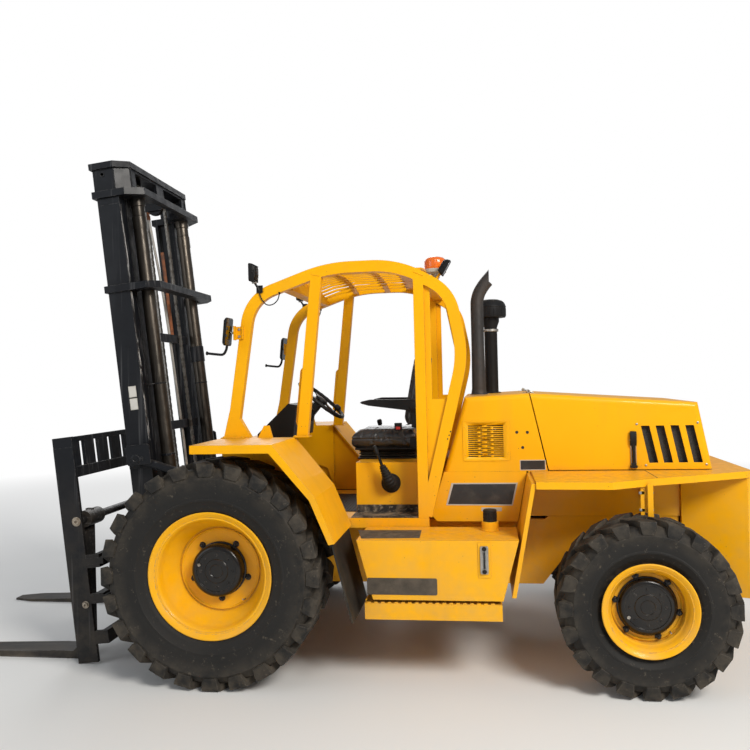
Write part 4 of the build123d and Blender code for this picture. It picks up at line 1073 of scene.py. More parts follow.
def housing(name, body, outline, bent, open_end, hides):
    """A sheet housing, open below and at one end, with rounded bends along its top and its closed end."""
    mesh = bpy.data.meshes.new(name)
    shape = bmesh.new()
    sides = [[shape.verts.new(at(x, y, z)) for x, z in outline] for y in (-hood_half, hood_half)]
    shape.faces.new(sides[0])
    shape.faces.new(list(reversed(sides[1])))
    walls = {}
    for k in range(4):
        n = (k + 1) % 4
        walls[k] = shape.faces.new((sides[0][n], sides[0][k], sides[1][k], sides[1][n]))
    edges = []
    for k, n in bent:
        for row in sides:
            edges.append(shape.edges.get((row[k], row[n])))
    bmesh.ops.delete(shape, geom=[walls[2], walls[open_end]], context="FACES_ONLY")
    bmesh.ops.bevel(shape, geom=edges, offset=0.032, segments=6, profile=0.5, affect="EDGES")
    bmesh.ops.recalc_face_normals(shape, faces=shape.faces)
    shape.to_mesh(mesh)
    shape.free()
    mesh.materials.append(yellow)
    made = linked(name, mesh)
    thick = made.modifiers.new("sheet", "SOLIDIFY")
    thick.thickness = sheet_t * MM
    thick.offset = -1
    keep_modified(made)
    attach(made, body)
    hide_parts(hides)
    return made


def slots():
    """Cutters of the grille: rows of two long slots between rows of three short ones."""
    cutter = Piece("slot_cutter")
    span = slot_x[1] - slot_x[0]
    for side in (-1, 1):
        y0, y1 = side * (hood_half - 20), side * (hood_half + 20)
        for k in range(16):
            shares = ((0, 0.40), (0.54, 1)) if k % 2 else ((0, 0.27), (0.35, 0.64), (0.72, 1))
            for start, end in shares:
                x1, x0 = slot_x[0] + span * start, slot_x[0] + span * end
                z = slot_z + slot_step * k
                cutter.box((x0, y0, z), (x1, y1, z + 6.4))
    return cutter


def vents():
    cutter = Piece("vent_cutter")
    for side in (-1, 1):
        y0, y1 = side * (hood_half - 30), side * (hood_half + 20)
        for k in range(4):
            x = vent_x - vent_step * k
            cutter.prism([(x, 1401), (x - 48, 1401), (x - 95, 1180), (x - 44, 1180)], y0, y1)
    return cutter


def rounded(low, high, radius, steps=4):
    """An upright rectangle's outline with round corners, from two (x, z) corners."""
    points = []
    corners = ((high[0], high[1], 0), (low[0], high[1], 1), (low[0], low[1], 2), (high[0], low[1], 3))
    for x, z, k in corners:
        cx = x - radius if k in (0, 3) else x + radius
        cz = z - radius if k in (0, 1) else z + radius
        for j in range(steps + 1):
            t = (k + j / steps) * pi / 2
            points.append((cx + radius * cos(t), cz + radius * sin(t)))
    return points


def cowl_pieces():
    cowl = housing("cowl_sheet", "chassis", cowl_outline, ((0, 1), (3, 0)), 1, "front_cowl")
    cut(cowl, slots())
    # riveted grille plate, with the same slots
    plate = Piece("grille_plates")
    for side in (-1, 1):
        plate.prism(rounded(plate_low, plate_high, 12), side * (hood_half + 0.2), side * (hood_half + 2.4))
    made = plate.make("chassis", [yellow], "yellow_paint")
    cut(made, slots())
    piece = Piece("cowl_trim")
    panel = [(-1202, 873), (-1290, deck_top), (-1790, deck_top), (-1790, 1124), (-1732, 830), (-1240, 830)]
    for side in (-1, 1):
        out = side * hood_half
        piece.prism(panel, out - side * 6, out)
        for x in (plate_low[0] + 14, plate_high[0] - 14):
            for z in (plate_low[1] + 40, plate_high[1] - 40):
                piece.turned([(5, 0), (5, 1.5), (3, 2.6), (0, 3)], (x, out + side * 2.2, z), (0, side, 0), 12)
        # three blind holes with their plugs
        for x, z in ((-1738, 1373), (-1801, 1372), (-1771, 1280)):
            piece.turned([(9.5, 0), (9, 1.2), (7, 1.4), (6, 0.4), (0, 0.4)], (x, out, z), (0, side, 0), 20, 1)
        # dark liner behind the slots
        piece.box((-1672, out - side * 26, 1210), (-1430, out - side * 24, 1436), 2)
        # knuckles of the lid's hinge on their leaf
        piece.turned([(10, side * 300), (10, side * 340)], hinge, (0, 1, 0), 20, 3)
        piece.box((-1815, side * 300, 1608.5), (-1785, side * 340, 1611.5), 3)
        piece.turned([(5, side * 299), (5, side * 385)], hinge, (0, 1, 0), 12, 3)
    piece.make("chassis", [yellow, bay_black, liner_black, zinced], "yellow_paint", bevel=0.6)


def lid_pieces():
    lid = housing("hood_sheet", "hood", hood_outline, ((0, 1), (1, 2)), 3, "hood_lid")
    cut(lid, vents())
    piece = Piece("hood_trim")
    for side in (-1, 1):
        out = side * hood_half
        for x, z in ((-2444, 1412), (-2792, 1416), (-2492, 1166), (-2836, 1168)):
            piece.turned([(7, 0), (6.5, 3), (3, 4.4), (0, 4.6)], (x, out, z), (0, side, 0), 14, 1)
        liner = [(-2436, 1426), (-2782, 1426), (-2846, 1160), (-2488, 1160)]
        piece.prism(liner, out - side * 34, out - side * 31)
        piece.turned([(10, side * 345), (10, side * 385)], hinge, (0, 1, 0), 20, 1)
        piece.box((-1853, side * 345, 1606), (-1823, side * 385, 1610.4), 1)
        piece.tube([(-1850, side * 365, 1611), (-1829, side * 365, 1618)], 5, 1, 8)
    piece.make("hood", [liner_black, zinced], "yellow_paint")


lid_pieces()
cowl_pieces()


# Rubber latches that hold the lid down, each with its steel strap and foot
def latches():
    piece = Piece("rubber_latches")
    foot = 1166
    for side in (-1, 1):
        def y(out):
            return side * (hood_half + out)
        grip = [(1, 1354), (8, 1370), (20, 1368), (26, 1344), (24, 1304), (15, 1284), (1, 1284)]
        piece.rings([[at(x, y(out), z) for out, z in grip] for x in (-2438, -2402)])
        piece.tube(bend([(-2420, y(11), 1292), (-2420, y(14), 1240), (-2420, y(11), 1168)], 5), 8, sides=12)
        for x in (-2434, -2406):
            piece.tube([(x, y(6), 1316), (x, y(7), 1240), (x, y(6), foot)], 3, 1, 8)
        piece.tube([(-2440, y(8), 1318), (-2400, y(8), 1318)], 5, 1, 10)
        piece.box((-2440, y(0.4), foot - 14), (-2400, y(22), foot))
        piece.box((-2434, y(0.4), foot), (-2406, y(22), foot + 14))
    return piece.make("hood", [rubber, zinced], "black_rubber", ("hood_latches",), bevel=2.5)


latches()


# Two bolted straps under the rear deck, at the joint of the arch's walls
def deck_straps():
    piece = Piece("deck_straps")
    for side in (-1, 1):
        for x, wide, y in ((-2390, 22, 905), (-2428, 30, 925)):
            piece.box((x - wide / 2, side * (y - 6), 925), (x + wide / 2, side * y, 1112))
        for z in (968, 1062):
            piece.box((-2446, side * 890, z - 8), (-2372, side * 905, z + 8))
            for x in (-2378, -2440):
                piece.bolt((x, side * 906, z), (0, side, 0), 7, 7, 1)
    return piece.make("chassis", [yellow, zinced], "yellow_paint", bevel=1)


deck_straps()


# Bare plates, and the seam across the rear deck
def body_plates():
    piece = Piece("bare_plates")
    for side in (-1, 1):
        for outline, out, thick, mark in (
                ([(-1333, 1066), (-1736, 1066), (-1702, 927), (-1297, 930)], 0.2, 1.2, 1),
                ([(-1345, 1059), (-1725, 1059), (-1696, 934), (-1309, 937)], 1.4, 0.4, 0),
                (rounded((-1905, 1142), (-1752, 1204), 4), 0.2, 1.0, 1),
                (rounded((-1901, 1146), (-1756, 1200), 3), 1.2, 0.4, 0),
                (rounded((-1636, 893), (-1512, 916), 3), 0.2, 1.0, 1)):
            piece.prism(outline, side * (hood_half + out), side * (hood_half + out + thick), mark)
        piece.box((-2484, side * 491, deck_top + 0.1), (-2480, side * 852, deck_top + 0.6), 2)
    piece.make("chassis", [plate_black, border_grey, bay_black], "black_plastic")


body_plates()


# Tanks: anti-slip pads, the step's teeth, sight gauge and filler
def tank_trim():
    piece = Piece("tank_trim")
    for side in (-1, 1):
        out = side * tank_out
        piece.prism(rounded((-1266, 519), (-875, 612), 9), out + side * 0.2, out + side * 2.4, 1)
        pad = [(-784, 734), (-1162, 729), (-1169, 950), (-842, 972), (-835, 950)]
        piece.rings([[at(x, side * y, z) for x, y in pad] for z in (tank_top + 0.2, tank_top + 2.4)], 1)
        # teeth along the step, and raised rings on its tread
        for k in range(19):
            x = -884 - 38 * k
            tooth = [(x - 13, 468), (x - 9, 477), (x + 9, 477), (x + 13, 468)]
            piece.prism(tooth, side * (tank_out - 8), side * (tank_out - 2))
            for row in range(4):
                spot = (x, side * (tank_out - 55 - 75 * row), 470)
                piece.turned([(15, -1), (14, 3), (11, 3.5), (10, 0.5), (0, 0.5)], spot, up_axis, 12)
        # weld beads where the step's plates meet the tank
        for x in (-866, -1612):
            piece.tube([(x, side * (tank_out - 7), 486), (x, side * 702, 486)], 4, sides=8)
    piece.make("chassis", [yellow, pad_grit], "yellow_paint", bevel=0.6)


def sight_gauge():
    piece = Piece("sight_gauge")
    out = tank_out + 0.2
    x = -1527
    piece.prism(rounded((-1562, 618), (-1492, 812), 6), out, out + 4, 3)
    piece.prism(rounded((-1549, 640), (-1505, 792), 8), out + 4, out + 13, 0)
    piece.prism(rounded((-1535, 668), (-1519, 764), 7), out + 13, out + 16, 1)
    for z in (654, 778):
        rim = [(12, 13), (12, 19), (9, 22), (6, 22), (5, 19), (0, 19)]
        piece.turned(rim, (x, out, z), (0, 1, 0), 24, 2)
    piece.tube([(x, out + 16, 672), (x, out + 16, 760)], 4, 2, 10)
    piece.make("chassis", [zinced, lamp_glass, plastic, yellow], "chrome_rod", bevel=0.8)


def filler():
    piece = Piece("filler")
    foot = (-1563, 711, tank_top)
    piece.turned([(54, 0), (54, 6), (49, 8), (49, 50), (46, 52)], foot, up_axis, 40)
    cap = [(38, 52), (40, 54), (40, 62), (37, 64), (37, 104), (40, 106), (40, 116), (36, 121), (12, 123),
           (0, 123)]
    piece.turned(cap, foot, up_axis, 40, 1)
    for t in turns(20):
        x, y = foot[0] + 38 * cos(t), foot[1] + 38 * sin(t)
        piece.tube([(x, y, foot[2] + 66), (x, y, foot[2] + 102)], 2.4, 1, 6)
    piece.make("chassis", [yellow, plastic], "black_plastic")


tank_trim()
sight_gauge()
filler()


# Exhaust pipe, pre-cleaner and beacon
def exhaust_pipe():
    """A slim pipe from its foot to a bend, cut off upright at its mouth."""
    piece = Piece("exhaust_pipe")
    foot_x = -1513
    y = 250
    mouth = -1594
    rows = [(foot_x, z) for z in (1603.4, 1640, 1900, 2120)]
    neck = [(foot_x, 2160), (-1515, 2205), (-1530, 2257), (-1560, 2305), (-1590, 2340)]
    rows += [(p.x, p.z) for p in bend([(x, 0, z) for x, z in neck], 5)]
    last = len(rows) - 1

    def ring(k, r):
        ahead = Vector(rows[min(k + 1, last)]) - Vector(rows[max(k - 1, 0)])
        ahead.normalize()
        points = []
        for t in turns(40):
            x = rows[k][0] - ahead.y * r * cos(t)
            z = rows[k][1] + ahead.x * r * cos(t)
            if k == last:
                z += (mouth - x) * ahead.y / ahead.x
                x = mouth
            points.append(at(x, y + r * sin(t), z))
        return points

    outside = [ring(k, 44 if k < 2 else 41) for k in range(last + 1)]
    inside = [ring(k, 36) for k in range(last, last - 16, -1)]
    piece.rings(outside + inside)
    cone = [(56, 0.4), (56, 5), (49, 8), (45, 34), (44.4, 34), (44.4, 0.4)]
    piece.turned(cone, (foot_x, y, 1603), up_axis, 48)
    piece.make("chassis", [stack_steel], "black_paint", ("exhaust_stack",))


def pre_cleaner():
    piece = Piece("pre_cleaner")
    foot = (-1600, -200, 0)
    stem = [(45, 1603.4), (45, 2060), (60, 2100), (60, 2124), (46, 2126)]
    piece.turned(stem, foot, up_axis, 40)
    band = [(52, 2030), (54, 2032), (54, 2046), (52, 2048), (45.5, 2048), (45.5, 2030)]
    piece.turned(band, foot, up_axis, 40, 1)
    bowl = [(62, 2124), (104, 2128), (108, 2140), (108, 2196), (109.5, 2198), (109.5, 2206), (107, 2209),
            (100, 2228), (84, 2243), (58, 2252), (26, 2254.5), (0, 2254.8)]
    piece.turned(bowl, foot, up_axis, 56)
    piece.turned([(62, 1602), (62, 1608), (47, 1612)], foot, up_axis, 32)
    for t in turns(28):
        fin = [(foot[0] + r * cos(t), foot[1] + r * sin(t), z) for r, z in ((107, 2136), (107.6, 2190))]
        piece.tube(fin, 2.2, 0, 6)
    piece.make("chassis", [plastic, zinced], "black_plastic", ("air_pre_cleaner",))


def beacon_light():
    piece = Piece("beacon_light")
    foot = (-1235, 0, 0)
    piece.turned([(24, 2345.4), (24, 2392), (30, 2396), (30, 2430)], foot, up_axis, 32, 1)
    base = [(30, 2424), (72, 2430), (75, 2434), (75, 2452), (72, 2456)]
    piece.turned(base, foot, up_axis, 48, 1)
    # lens with upright flutes under a smooth top
    rings = []
    for r, z in ((71, 2454), (73, 2460), (73, 2508), (69, 2522), (58, 2532), (36, 2538), (4, 2539.5)):
        ring = []
        for t in turns(96):
            flute = 1.2 * cos(24 * t) if 2455 < z < 2515 else 0
            ring.append(at(foot[0] + (r + flute) * cos(t), (r + flute) * sin(t), z))
        rings.append(ring)
    piece.rings(rings, 0)
    piece.make("chassis", [amber, border_grey], "orange_lens", ("beacon",))


exhaust_pipe()
pre_cleaner()
beacon_light()


# Seat: two cushions blown up as cloth, then sewn
seat_low = Vector((-1112, -244, 1268))
seat_high = Vector((-650, 244, 1376))
back_foot = Vector((-1060, 0, 1398))
back_top = Vector((-1152, 0, 1888))
back_half = 226.0
back_half_t = 36.0
seat_line = 132.0
back_line = 122.0
cloth_grain = 6.0
blow_frames = 20


def smooth(value, low, high):
    """0 below low, 1 above high, and a smooth ramp between."""
    t = min(max((value - low) / (high - low), 0), 1)
    return t * t * (3 - 2 * t)


def pillow(name, place, grid, limit, seam_depth, seams):
    """A cushion from a block whose faces place() bends, inflated as cloth and then sewn along its seams."""
    shape = bmesh.new()
    bmesh.ops.create_cube(shape, size=2)
    bmesh.ops.subdivide_edges(shape, edges=shape.edges, cuts=grid, use_grid_fill=True)
    for vert in shape.verts:
        vert.co = place(*vert.co)
    bmesh.ops.recalc_face_normals(shape, faces=shape.faces)
    mesh = bpy.data.meshes.new(name)
    shape.to_mesh(mesh)
    shape.free()
    made = linked(name, mesh)
    grain = made.modifiers.new("grain", "REMESH")
    grain.mode = "VOXEL"
    grain.voxel_size = cloth_grain * MM
    keep_modified(made)
    start = [vert.co.copy() for vert in made.data.vertices]
    cloth = made.modifiers.new("cloth", "CLOTH")
    wanted = {"quality": 4, "mass": 0.3, "tension_stiffness": 12, "compression_stiffness": 12,
              "bending_stiffness": 0.6, "use_pressure": True, "uniform_pressure_force": 4}
    for key, value in wanted.items():
        setattr(cloth.settings, key, value)
    cloth.settings.effector_weights.gravity = 0
    cloth.point_cache.frame_start = 1
    cloth.point_cache.frame_end = blow_frames
    for moment in range(1, blow_frames + 1):
        bpy.context.scene.frame_set(moment)
    keep_modified(made)
    bpy.context.scene.frame_set(1)
    for vert, was in zip(made.data.vertices, start):
        moved = vert.co - was
        if moved.length > limit:
            vert.co = was + moved.normalized() * limit
    finer = made.modifiers.new("finer", "SUBSURF")
    finer.levels = 1
    finer.render_levels = 1
    keep_modified(made)
    normals = [vert.normal.copy() for vert in made.data.vertices]
    for vert, normal in zip(made.data.vertices, normals):
        vert.co -= normal * seams(vert.co) * seam_depth
    made.data.polygons.foreach_set("use_smooth", [True] * len(made.data.polygons))
    made.data.materials.clear()
    made.data.materials.append(vinyl)
    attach(made, "chassis")
    return made


def seat_shape(u, v, w):
    """The seat cushion: bolsters at its sides, a rounded front and pulled-in corners."""
    size = (seat_high - seat_low) / 2
    centre = (seat_high + seat_low) / 2
    pull = 1 - 0.05 * (abs(u * v) ** 3)
    x = centre.x + size.x * u * pull
    y = centre.y + size.y * v * pull
    edge = max(abs(u), abs(v))
    top = size.z * (0.72 + 0.20 * smooth(abs(v), 0.55, 0.85) - 0.30 * smooth(edge, 0.86, 1.0))
    top -= size.z * 0.35 * smooth(u, 0.72, 1.0)
    low = size.z * (0.92 - 0.25 * smooth(edge, 0.9, 1.0))
    return at(x, y, centre.z + (top * w if w > 0 else low * w))


def seat_seams(co):
    """How deep the seat's seams lie at a point: two lines along, two across and one round its side."""
    x = (co.x - axle_x) / MM
    y = abs(co.y / MM)
    z = co.z / MM
    top = smooth(z, 1330, 1345)
    near = min(abs(y - seat_line), *(abs(x - row) if y < seat_line else 99 for row in (-800, -985)))
    return max(top * exp(-(near / 5.5) ** 2), 0.8 * exp(-((z - 1325) / 4.5) ** 2))


def back_place(u, v, t):
    """A point of the backrest: across, up its length, and forward from its middle plane."""
    along = (back_top - back_foot)
    ahead = Vector((-along.z, 0, along.x)).normalized() * -1
    spot = back_foot + along * (0.5 + 0.5 * v) + ahead * t
    return at(spot.x, u, spot.z)


def back_shape(u, v, w):
    """The backrest: round shoulders, side bolsters and a hollow for the back."""
    half = back_half * (1 - 0.16 * smooth(v, 0.55, 1.0) - 0.03 * smooth(-v, 0.7, 1.0))
    edge = max(abs(u), abs(v))
    thick = back_half_t * (0.74 + 0.30 * smooth(abs(u), 0.5, 0.85) - 0.42 * smooth(edge, 0.86, 1.0))
    if w < 0:
        thick = back_half_t * (0.85 - 0.3 * smooth(edge, 0.86, 1.0))
    rise = v - 0.03 * abs(u) ** 3 * (1 if v > 0 else -1) * smooth(abs(v), 0.6, 1)
    return back_place(half * u, rise, thick * w)


def back_seams(co):
    """Two lines up the backrest, two across it and one round its side."""
    x = (co.x - axle_x) / MM - back_foot.x
    z = co.z / MM - back_foot.z
    run = back_top - back_foot
    along = (x * run.x + z * run.z) / run.length
    out = (x * run.z - z * run.x) / run.length
    y = abs(co.y / MM)
    near = min(abs(y - back_line), *(abs(along - row) if y < back_line else 99 for row in (170, 320)))
    front = smooth(out, 10, 18)
    return max(front * exp(-(near / 5.5) ** 2), 0.8 * exp(-(out / 4.5) ** 2))


seat_made = pillow("seat_pad", seat_shape, 17, 0.020, 0.006, seat_seams)
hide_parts("seat_cushion")
back_made = pillow("back_pad", back_shape, 17, 0.016, 0.006, back_seams)
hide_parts("seat_back")


def seat_base():
    """Base plate, pleated boot, back shell, armrests and the belt with its buckle."""
    piece = Piece("seat_base")
    piece.box((-1095, -205, 1190.6), (-705, 205, 1202))
    piece.box((-1108, -222, 1252), (-690, 222, 1266))
    for row in range(3):
        z = 1202 + row * 17
        for pleat in (((176, 186, z), (190, 200, z + 8)), ((190, 200, z + 8), (176, 186, z + 16.6))):
            piece.rings([[at(-900 + a * half_x, b * half_y, level) for a, b in square]
                         for half_x, half_y, level in pleat], 1)
    for s in (-1, 1):
        # armrest: a padded wedge on its arm, with a pivot cap
        wedge = [(-1118, 1503), (-1118, 1578), (-1104, 1582), (-806, 1586), (-758, 1576), (-744, 1567),
                 (-756, 1560), (-800, 1547)]
        piece.prism(wedge, s * 262, s * 318)
        piece.box((-1113, s * 241, 1402), (-1077, s * 298, 1520))
        piece.turned([(26, 0), (26, 6), (20, 9), (0, 9)], (-1092, s * 318, 1540), (0, s, 0), 28, 1)
    # shell of the back
    rings = []
    for low, foot, high, head, t in ((218, -0.96, 196, 0.94, -30), (196, -0.9, 176, 0.88, -42)):
        corners = ((-low, foot), (low, foot), (high, head), (-high, head))
        rings.append([back_place(u, v, t) for u, v in corners])
    piece.rings(rings)
    made = piece.make("chassis", [plastic, rubber], "black_plastic", ("seat_frame",), bevel=5)
    belt = Piece("seat_belt")
    for s in (-1, 1):
        belt.box((-1112, s * 246, 1268), (-1060, s * 262, 1330), 0)
        belt.prism([(-1040, 1290), (-1000, 1392), (-978, 1386), (-1016, 1286)], s * 258, s * 261, 2)
    # red button of the buckle, and the tongue's side
    belt.box((-1010, 253, 1380), (-962, 275, 1430), 0)
    belt.box((-1000, 276, 1388), (-972, 279, 1406), 1)
    belt.make("chassis", [plastic, signal_red, belt_web], "black_plastic", bevel=3)
    return made


seat_base()


# Steering wheel, with its grip swells, spokes, hub cap and knob
def steering_wheel():
    tilt = radians(40)
    centre = Vector((-424, 0, 1583))
    rim_r = 185
    across = Vector((cos(tilt), 0, sin(tilt)))
    normal = Vector((-sin(tilt), 0, cos(tilt)))

    def spot(r, turn, lift=0.0):
        return centre + across * r * cos(turn) + Vector((0, r * sin(turn), 0)) + normal * lift

    piece = Piece("steering_wheel_rim")
    swell = [13.2 + 0.9 * cos(24 * t) for t in turns(72)]
    piece.tube([spot(rim_r, t) for t in turns(72)], swell, 0, 14, loop=True)
    for turn in turns(3, pi):
        wide = Vector((0, cos(turn), 0)) - across * sin(turn)
        rings = []
        for r, half, lift in ((34, 22, -2), (70, 15, -6), (130, 12, -6), (176, 14, -2)):
            foot = spot(r, turn, lift)
            rings.append([at(*(foot + wide * half * a + normal * 5 * b)) for a, b in square])
        piece.rings(rings, 1)
    hub = [(30, -15), (46, -12), (47, 4), (44, 11), (30, 15), (12, 16), (0, 16)]
    piece.turned(hub, centre, normal, 40)
    knob = spot(rim_r, 2.4, 12)
    piece.turned([(7, 0), (8, 16), (20, 24), (25, 36), (24, 46), (16, 54), (0, 56)], knob, normal, 28)
    return piece.make("steering_wheel", [plastic, hub_dark], "black_plastic", ("steering_wheel",), bevel=1.5)


steering_wheel()


# Levers: three with ball knobs in pleated boots, and the side lever in its ribbed boot
def levers():
    piece = Piece("levers")
    for k in range(3):
        y = -440 - 30 * k
        foot = Vector((-800, y, 1191.7))
        top = Vector((-760, y, 1420))
        along = (top - foot).normalized()
        piece.turned([(7, 0), (7, 222)], foot, along, 14, 1)
        pleats = [(14, 0), (14.4, 4), (10, 8), (13, 12), (9, 16), (11.5, 20), (7.5, 26), (7, 34)]
        piece.turned(pleats, foot, along, 20)
        knob = [(7, 186), (12, 190), (14, 206), (14, 220), (10.5, 229), (0, 231.5)]
        piece.turned(knob, foot, along, 20)
    disc = (-950, 420.6, 1060)
    piece.turned([(61, 0), (61.5, 6), (58, 12), (50, 14), (49, 19), (0, 19)], disc, (0, 1, 0), 40)
    for t in turns(6):
        spot = (disc[0] + 54.5 * cos(t), 434, disc[2] + 54.5 * sin(t))
        piece.turned([(4, -1), (4, 2), (2, 3)], spot, (0, 1, 0), 6, 1)
    route = bend([(-950, 439, 1060), (-948, 470, 1072), (-940, 492, 1096), (-930, 500, 1124),
                  (-918, 502, 1152), (-905, 500, 1180)], 8)
    last = len(route) - 1
    radii = [47 - 29 * k / last + (2.2 if k % 4 < 2 else -2.2) for k in range(last + 1)]
    piece.tube(route, radii, 0, 24)
    piece.tube([(-905, 500, 1178), (-884, 503, 1240), (-862, 505, 1298)], 9.5, 1, 14)
    grip = [(10, 0), (13, 4), (15, 24), (14, 50), (10, 60), (0, 62)]
    piece.turned(grip, (-880, 504, 1246), Vector((22, 1, 60)), 20)
    return piece.make("chassis", [rubber, hub_dark], "black_plastic", ("control_levers",))


levers()


# Dash: instruments, switches and key in the face towards the seat
dash_rise = 222.0
dash_run = Vector((-30, 0, 220))
dash_out = Vector((-220, 0, -30)).normalized()


def dash_face(y, up, out=0.0):
    """A point of the dash's face: up from its lower edge, and out towards the seat."""
    spot = Vector((-290, 0, 1340)) + dash_run * up + dash_out * out
    return spot.x, y, spot.z


def dash_trim():
    piece = Piece("dash_trim")
    for y, up, r in ((-210, 0.66, 38), (-120, 0.66, 30), (120, 0.66, 30), (210, 0.66, 38)):
        foot = dash_face(y, up)
        rim = [(r + 4, -2), (r + 4, 4), (r, 6), (r - 4, 5), (r - 5, 1)]
        piece.turned(rim, foot, dash_out, 36)
        piece.turned([(r - 4, 0.5), (r - 4, 1.5)], foot, dash_out, 36, 1)
        hand = [dash_face(y - 1.5, up - 0.03, 2.4), dash_face(y + r * 0.5, up + 0.09, 2.4)]
        piece.tube(hand, 1, 2, 6)
        for k in range(11):
            t = -0.7 + k * (pi + 1.4) / 10
            mark = [dash_face(y + reach * cos(t), up + reach * sin(t) / dash_rise, 2)
                    for reach in (r - 7, r - 11)]
            piece.tube(mark, 0.7, 3, 6)
    for k in range(6):
        piece.rings([[at(*dash_face(-100 + 34 * k + 11 * a, 0.30 + 0.09 * b, out)) for a, b in square]
                     for out in (0.3, 7)])
    piece.turned([(12, -1), (12, 5), (8, 6), (3, 6), (3, 18), (0, 18)], dash_face(180, 0.28), dash_out, 20, 4)
    # column: boot at the cowl, and the turn lever
    start = Vector((-285, 0, 1418))
    column = Vector((-413.7, 0, 1570.7)) - start
    foot = start + column.normalized() * 62
    piece.turned([(46, 0), (44, 6), (36, 24), (30.3, 40), (30.3, 0)], foot, column, 28)
    lever = [(-372, 24, 1512), (-376, 90, 1530), (-380, 150, 1548)]
    piece.tube(bend(lever, 5), [5.5] * 7 + [9] * 4, 0, 10)
    finishes = [plastic, plate_black, signal_red, border_grey, zinced]
    return piece.make("chassis", finishes, "black_plastic", bevel=0.6)


def cab_floor():
    """Ribbed rubber mat and the two pedals."""
    piece = Piece("cab_floor")
    piece.box((-716, -380, 872.3), (-130, 380, 877))
    for k in range(27):
        x = -706 + 21 * k
        piece.box((x, -366, 877), (x + 8, 366, 880))
    # muddy mat over each sill, turned up against the seat box
    for side in (-1, 1):
        piece.box((-1176, side * 421, 872.4), (-722, side * 609, 879), 2)
        piece.box((-1174, side * 420.3, 878), (-730, side * 427, 924), 2)
        # wall between the driver's feet and the wheel, under the fender's slope
        wall = [(-132, 873), (-132, 1366), (-384, 1366), (-470, 1266), (-604, 1072), (-694, 873)]
        piece.prism(wall, side * 644, side * 651, 3)
    for y, wide in ((-150, 70), (-260, 50)):
        piece.rings([[at(x, y + s * wide / 2, z) for s in (-1, 1)] + [at(x + 6, y + s * wide / 2, z - 8)
                                                                     for s in (1, -1)]
                     for x, z in ((-330, 905), (-262, 990))])
        piece.tube([(-290, y, 945), (-180, y, 930), (-122, y, 960)], 9, 1, 10)
    return piece.make("chassis", [rubber, mast_black, mat_mud, yellow], "black_rubber", bevel=1)


dash_trim()
cab_floor()


# Work lamps: housing with its lens, stirrup and lead; the front pair aims forward, the rear one back
def work_lamp(piece, centre, turn):
    """A lamp whose lens faces +X before it is turned about Y."""
    slim = 0.72
    c, s = cos(turn), sin(turn)

    def spot(x, y, z):
        return centre[0] + x * slim * c + z * s, centre[1] + y, centre[2] - x * slim * s + z * c

    def face(x, half_y, half_z, cut_off):
        corners = ((1, 1), (-1, 1), (-1, -1), (1, -1))
        ring = []
        for k, (a, b) in enumerate(corners):
            one = (a * (half_y - cut_off), b * half_z)
            two = (a * half_y, b * (half_z - cut_off))
            ring.extend((one, two) if k % 2 else (two, one))
        return [at(*spot(x, y, z)) for y, z in ring]

    piece.rings([face(-30, 26, 32, 12), face(-20, 36, 44, 12), face(4, 43, 53, 10), face(26, 45, 55.5, 9),
                 face(32.5, 45, 55.5, 9), face(32.5, 40, 50, 8), face(27, 39, 49, 8), face(26, 20, 20, 4)], 0)
    piece.rings([face(27.5, 38.5, 48.5, 8), face(29.5, 38.5, 48.5, 8)], 1)
    for k in range(5):
        z = -34 + 17 * k
        piece.box(spot(-32, -22, z), spot(-24, 22, z + 5), 0)
    for side in (-1, 1):
        piece.bolt(spot(2, side * 43, 0), (0, side, 0), 6, 5)


def lamps():
    piece = Piece("work_lamps")
    for side in (-1, 1):
        centre = (-145, side * 615, 2400.5)
        work_lamp(piece, centre, 0.0)
        for out in (-1, 1):
            y = centre[1] + out * 44.2
            piece.box((-158, y, 2345), (-134, y + out, 2412), 0)
        piece.box((-158, centre[1] - 45, 2341), (-134, centre[1] + 45, 2346), 0)
        neck = [(x, side * y, z) for x, y, z in ((-146, 615, 2342), (-156, 620, 2326), (-168, 620, 2306),
                                                 (-178, 619.5, 2284))]
        piece.tube(bend(neck, 5), 7, 0, 12)
        piece.turned([(15, -4), (16, 0), (12, 10), (7, 12)], (-146, centre[1], 2336), up_axis, 6, 2)
        # foot on the hoop, and the lead that sags between its two clips
        piece.box((-200, side * cab_face, 2272), (-160, side * 622, 2318), 0)
        lead = [(x, side * y, z) for x, y, z in ((-176, 620, 2300), (-186, 619, 2244), (-218, 618, 2200),
                                                 (-258, 618, 2196), (-292, 618, 2222), (-306, 617, 2262))]
        piece.tube(bend(lead, 6), 3.6, 0, 8)
        piece.turned([(7, 0), (7, 6), (5, 8)], (-306, side * cab_face, 2266), (0, side, 0), 10)
    rear_turn = radians(150)
    work_lamp(piece, (-1300, 130, 2452), rear_turn)
    piece.box((-1249.7, 120, 2345.4), (-1225, 140, 2370), 3)
    piece.tube([(-1237, 130, 2360), (-1262, 130, 2392), (-1284, 130, 2420)], 9, 3, 12)
    finishes = [plastic, lamp_glass, zinced, yellow]
    return piece.make("chassis", finishes, "black_plastic", ("lamps_and_mirrors",), bevel=1.2)


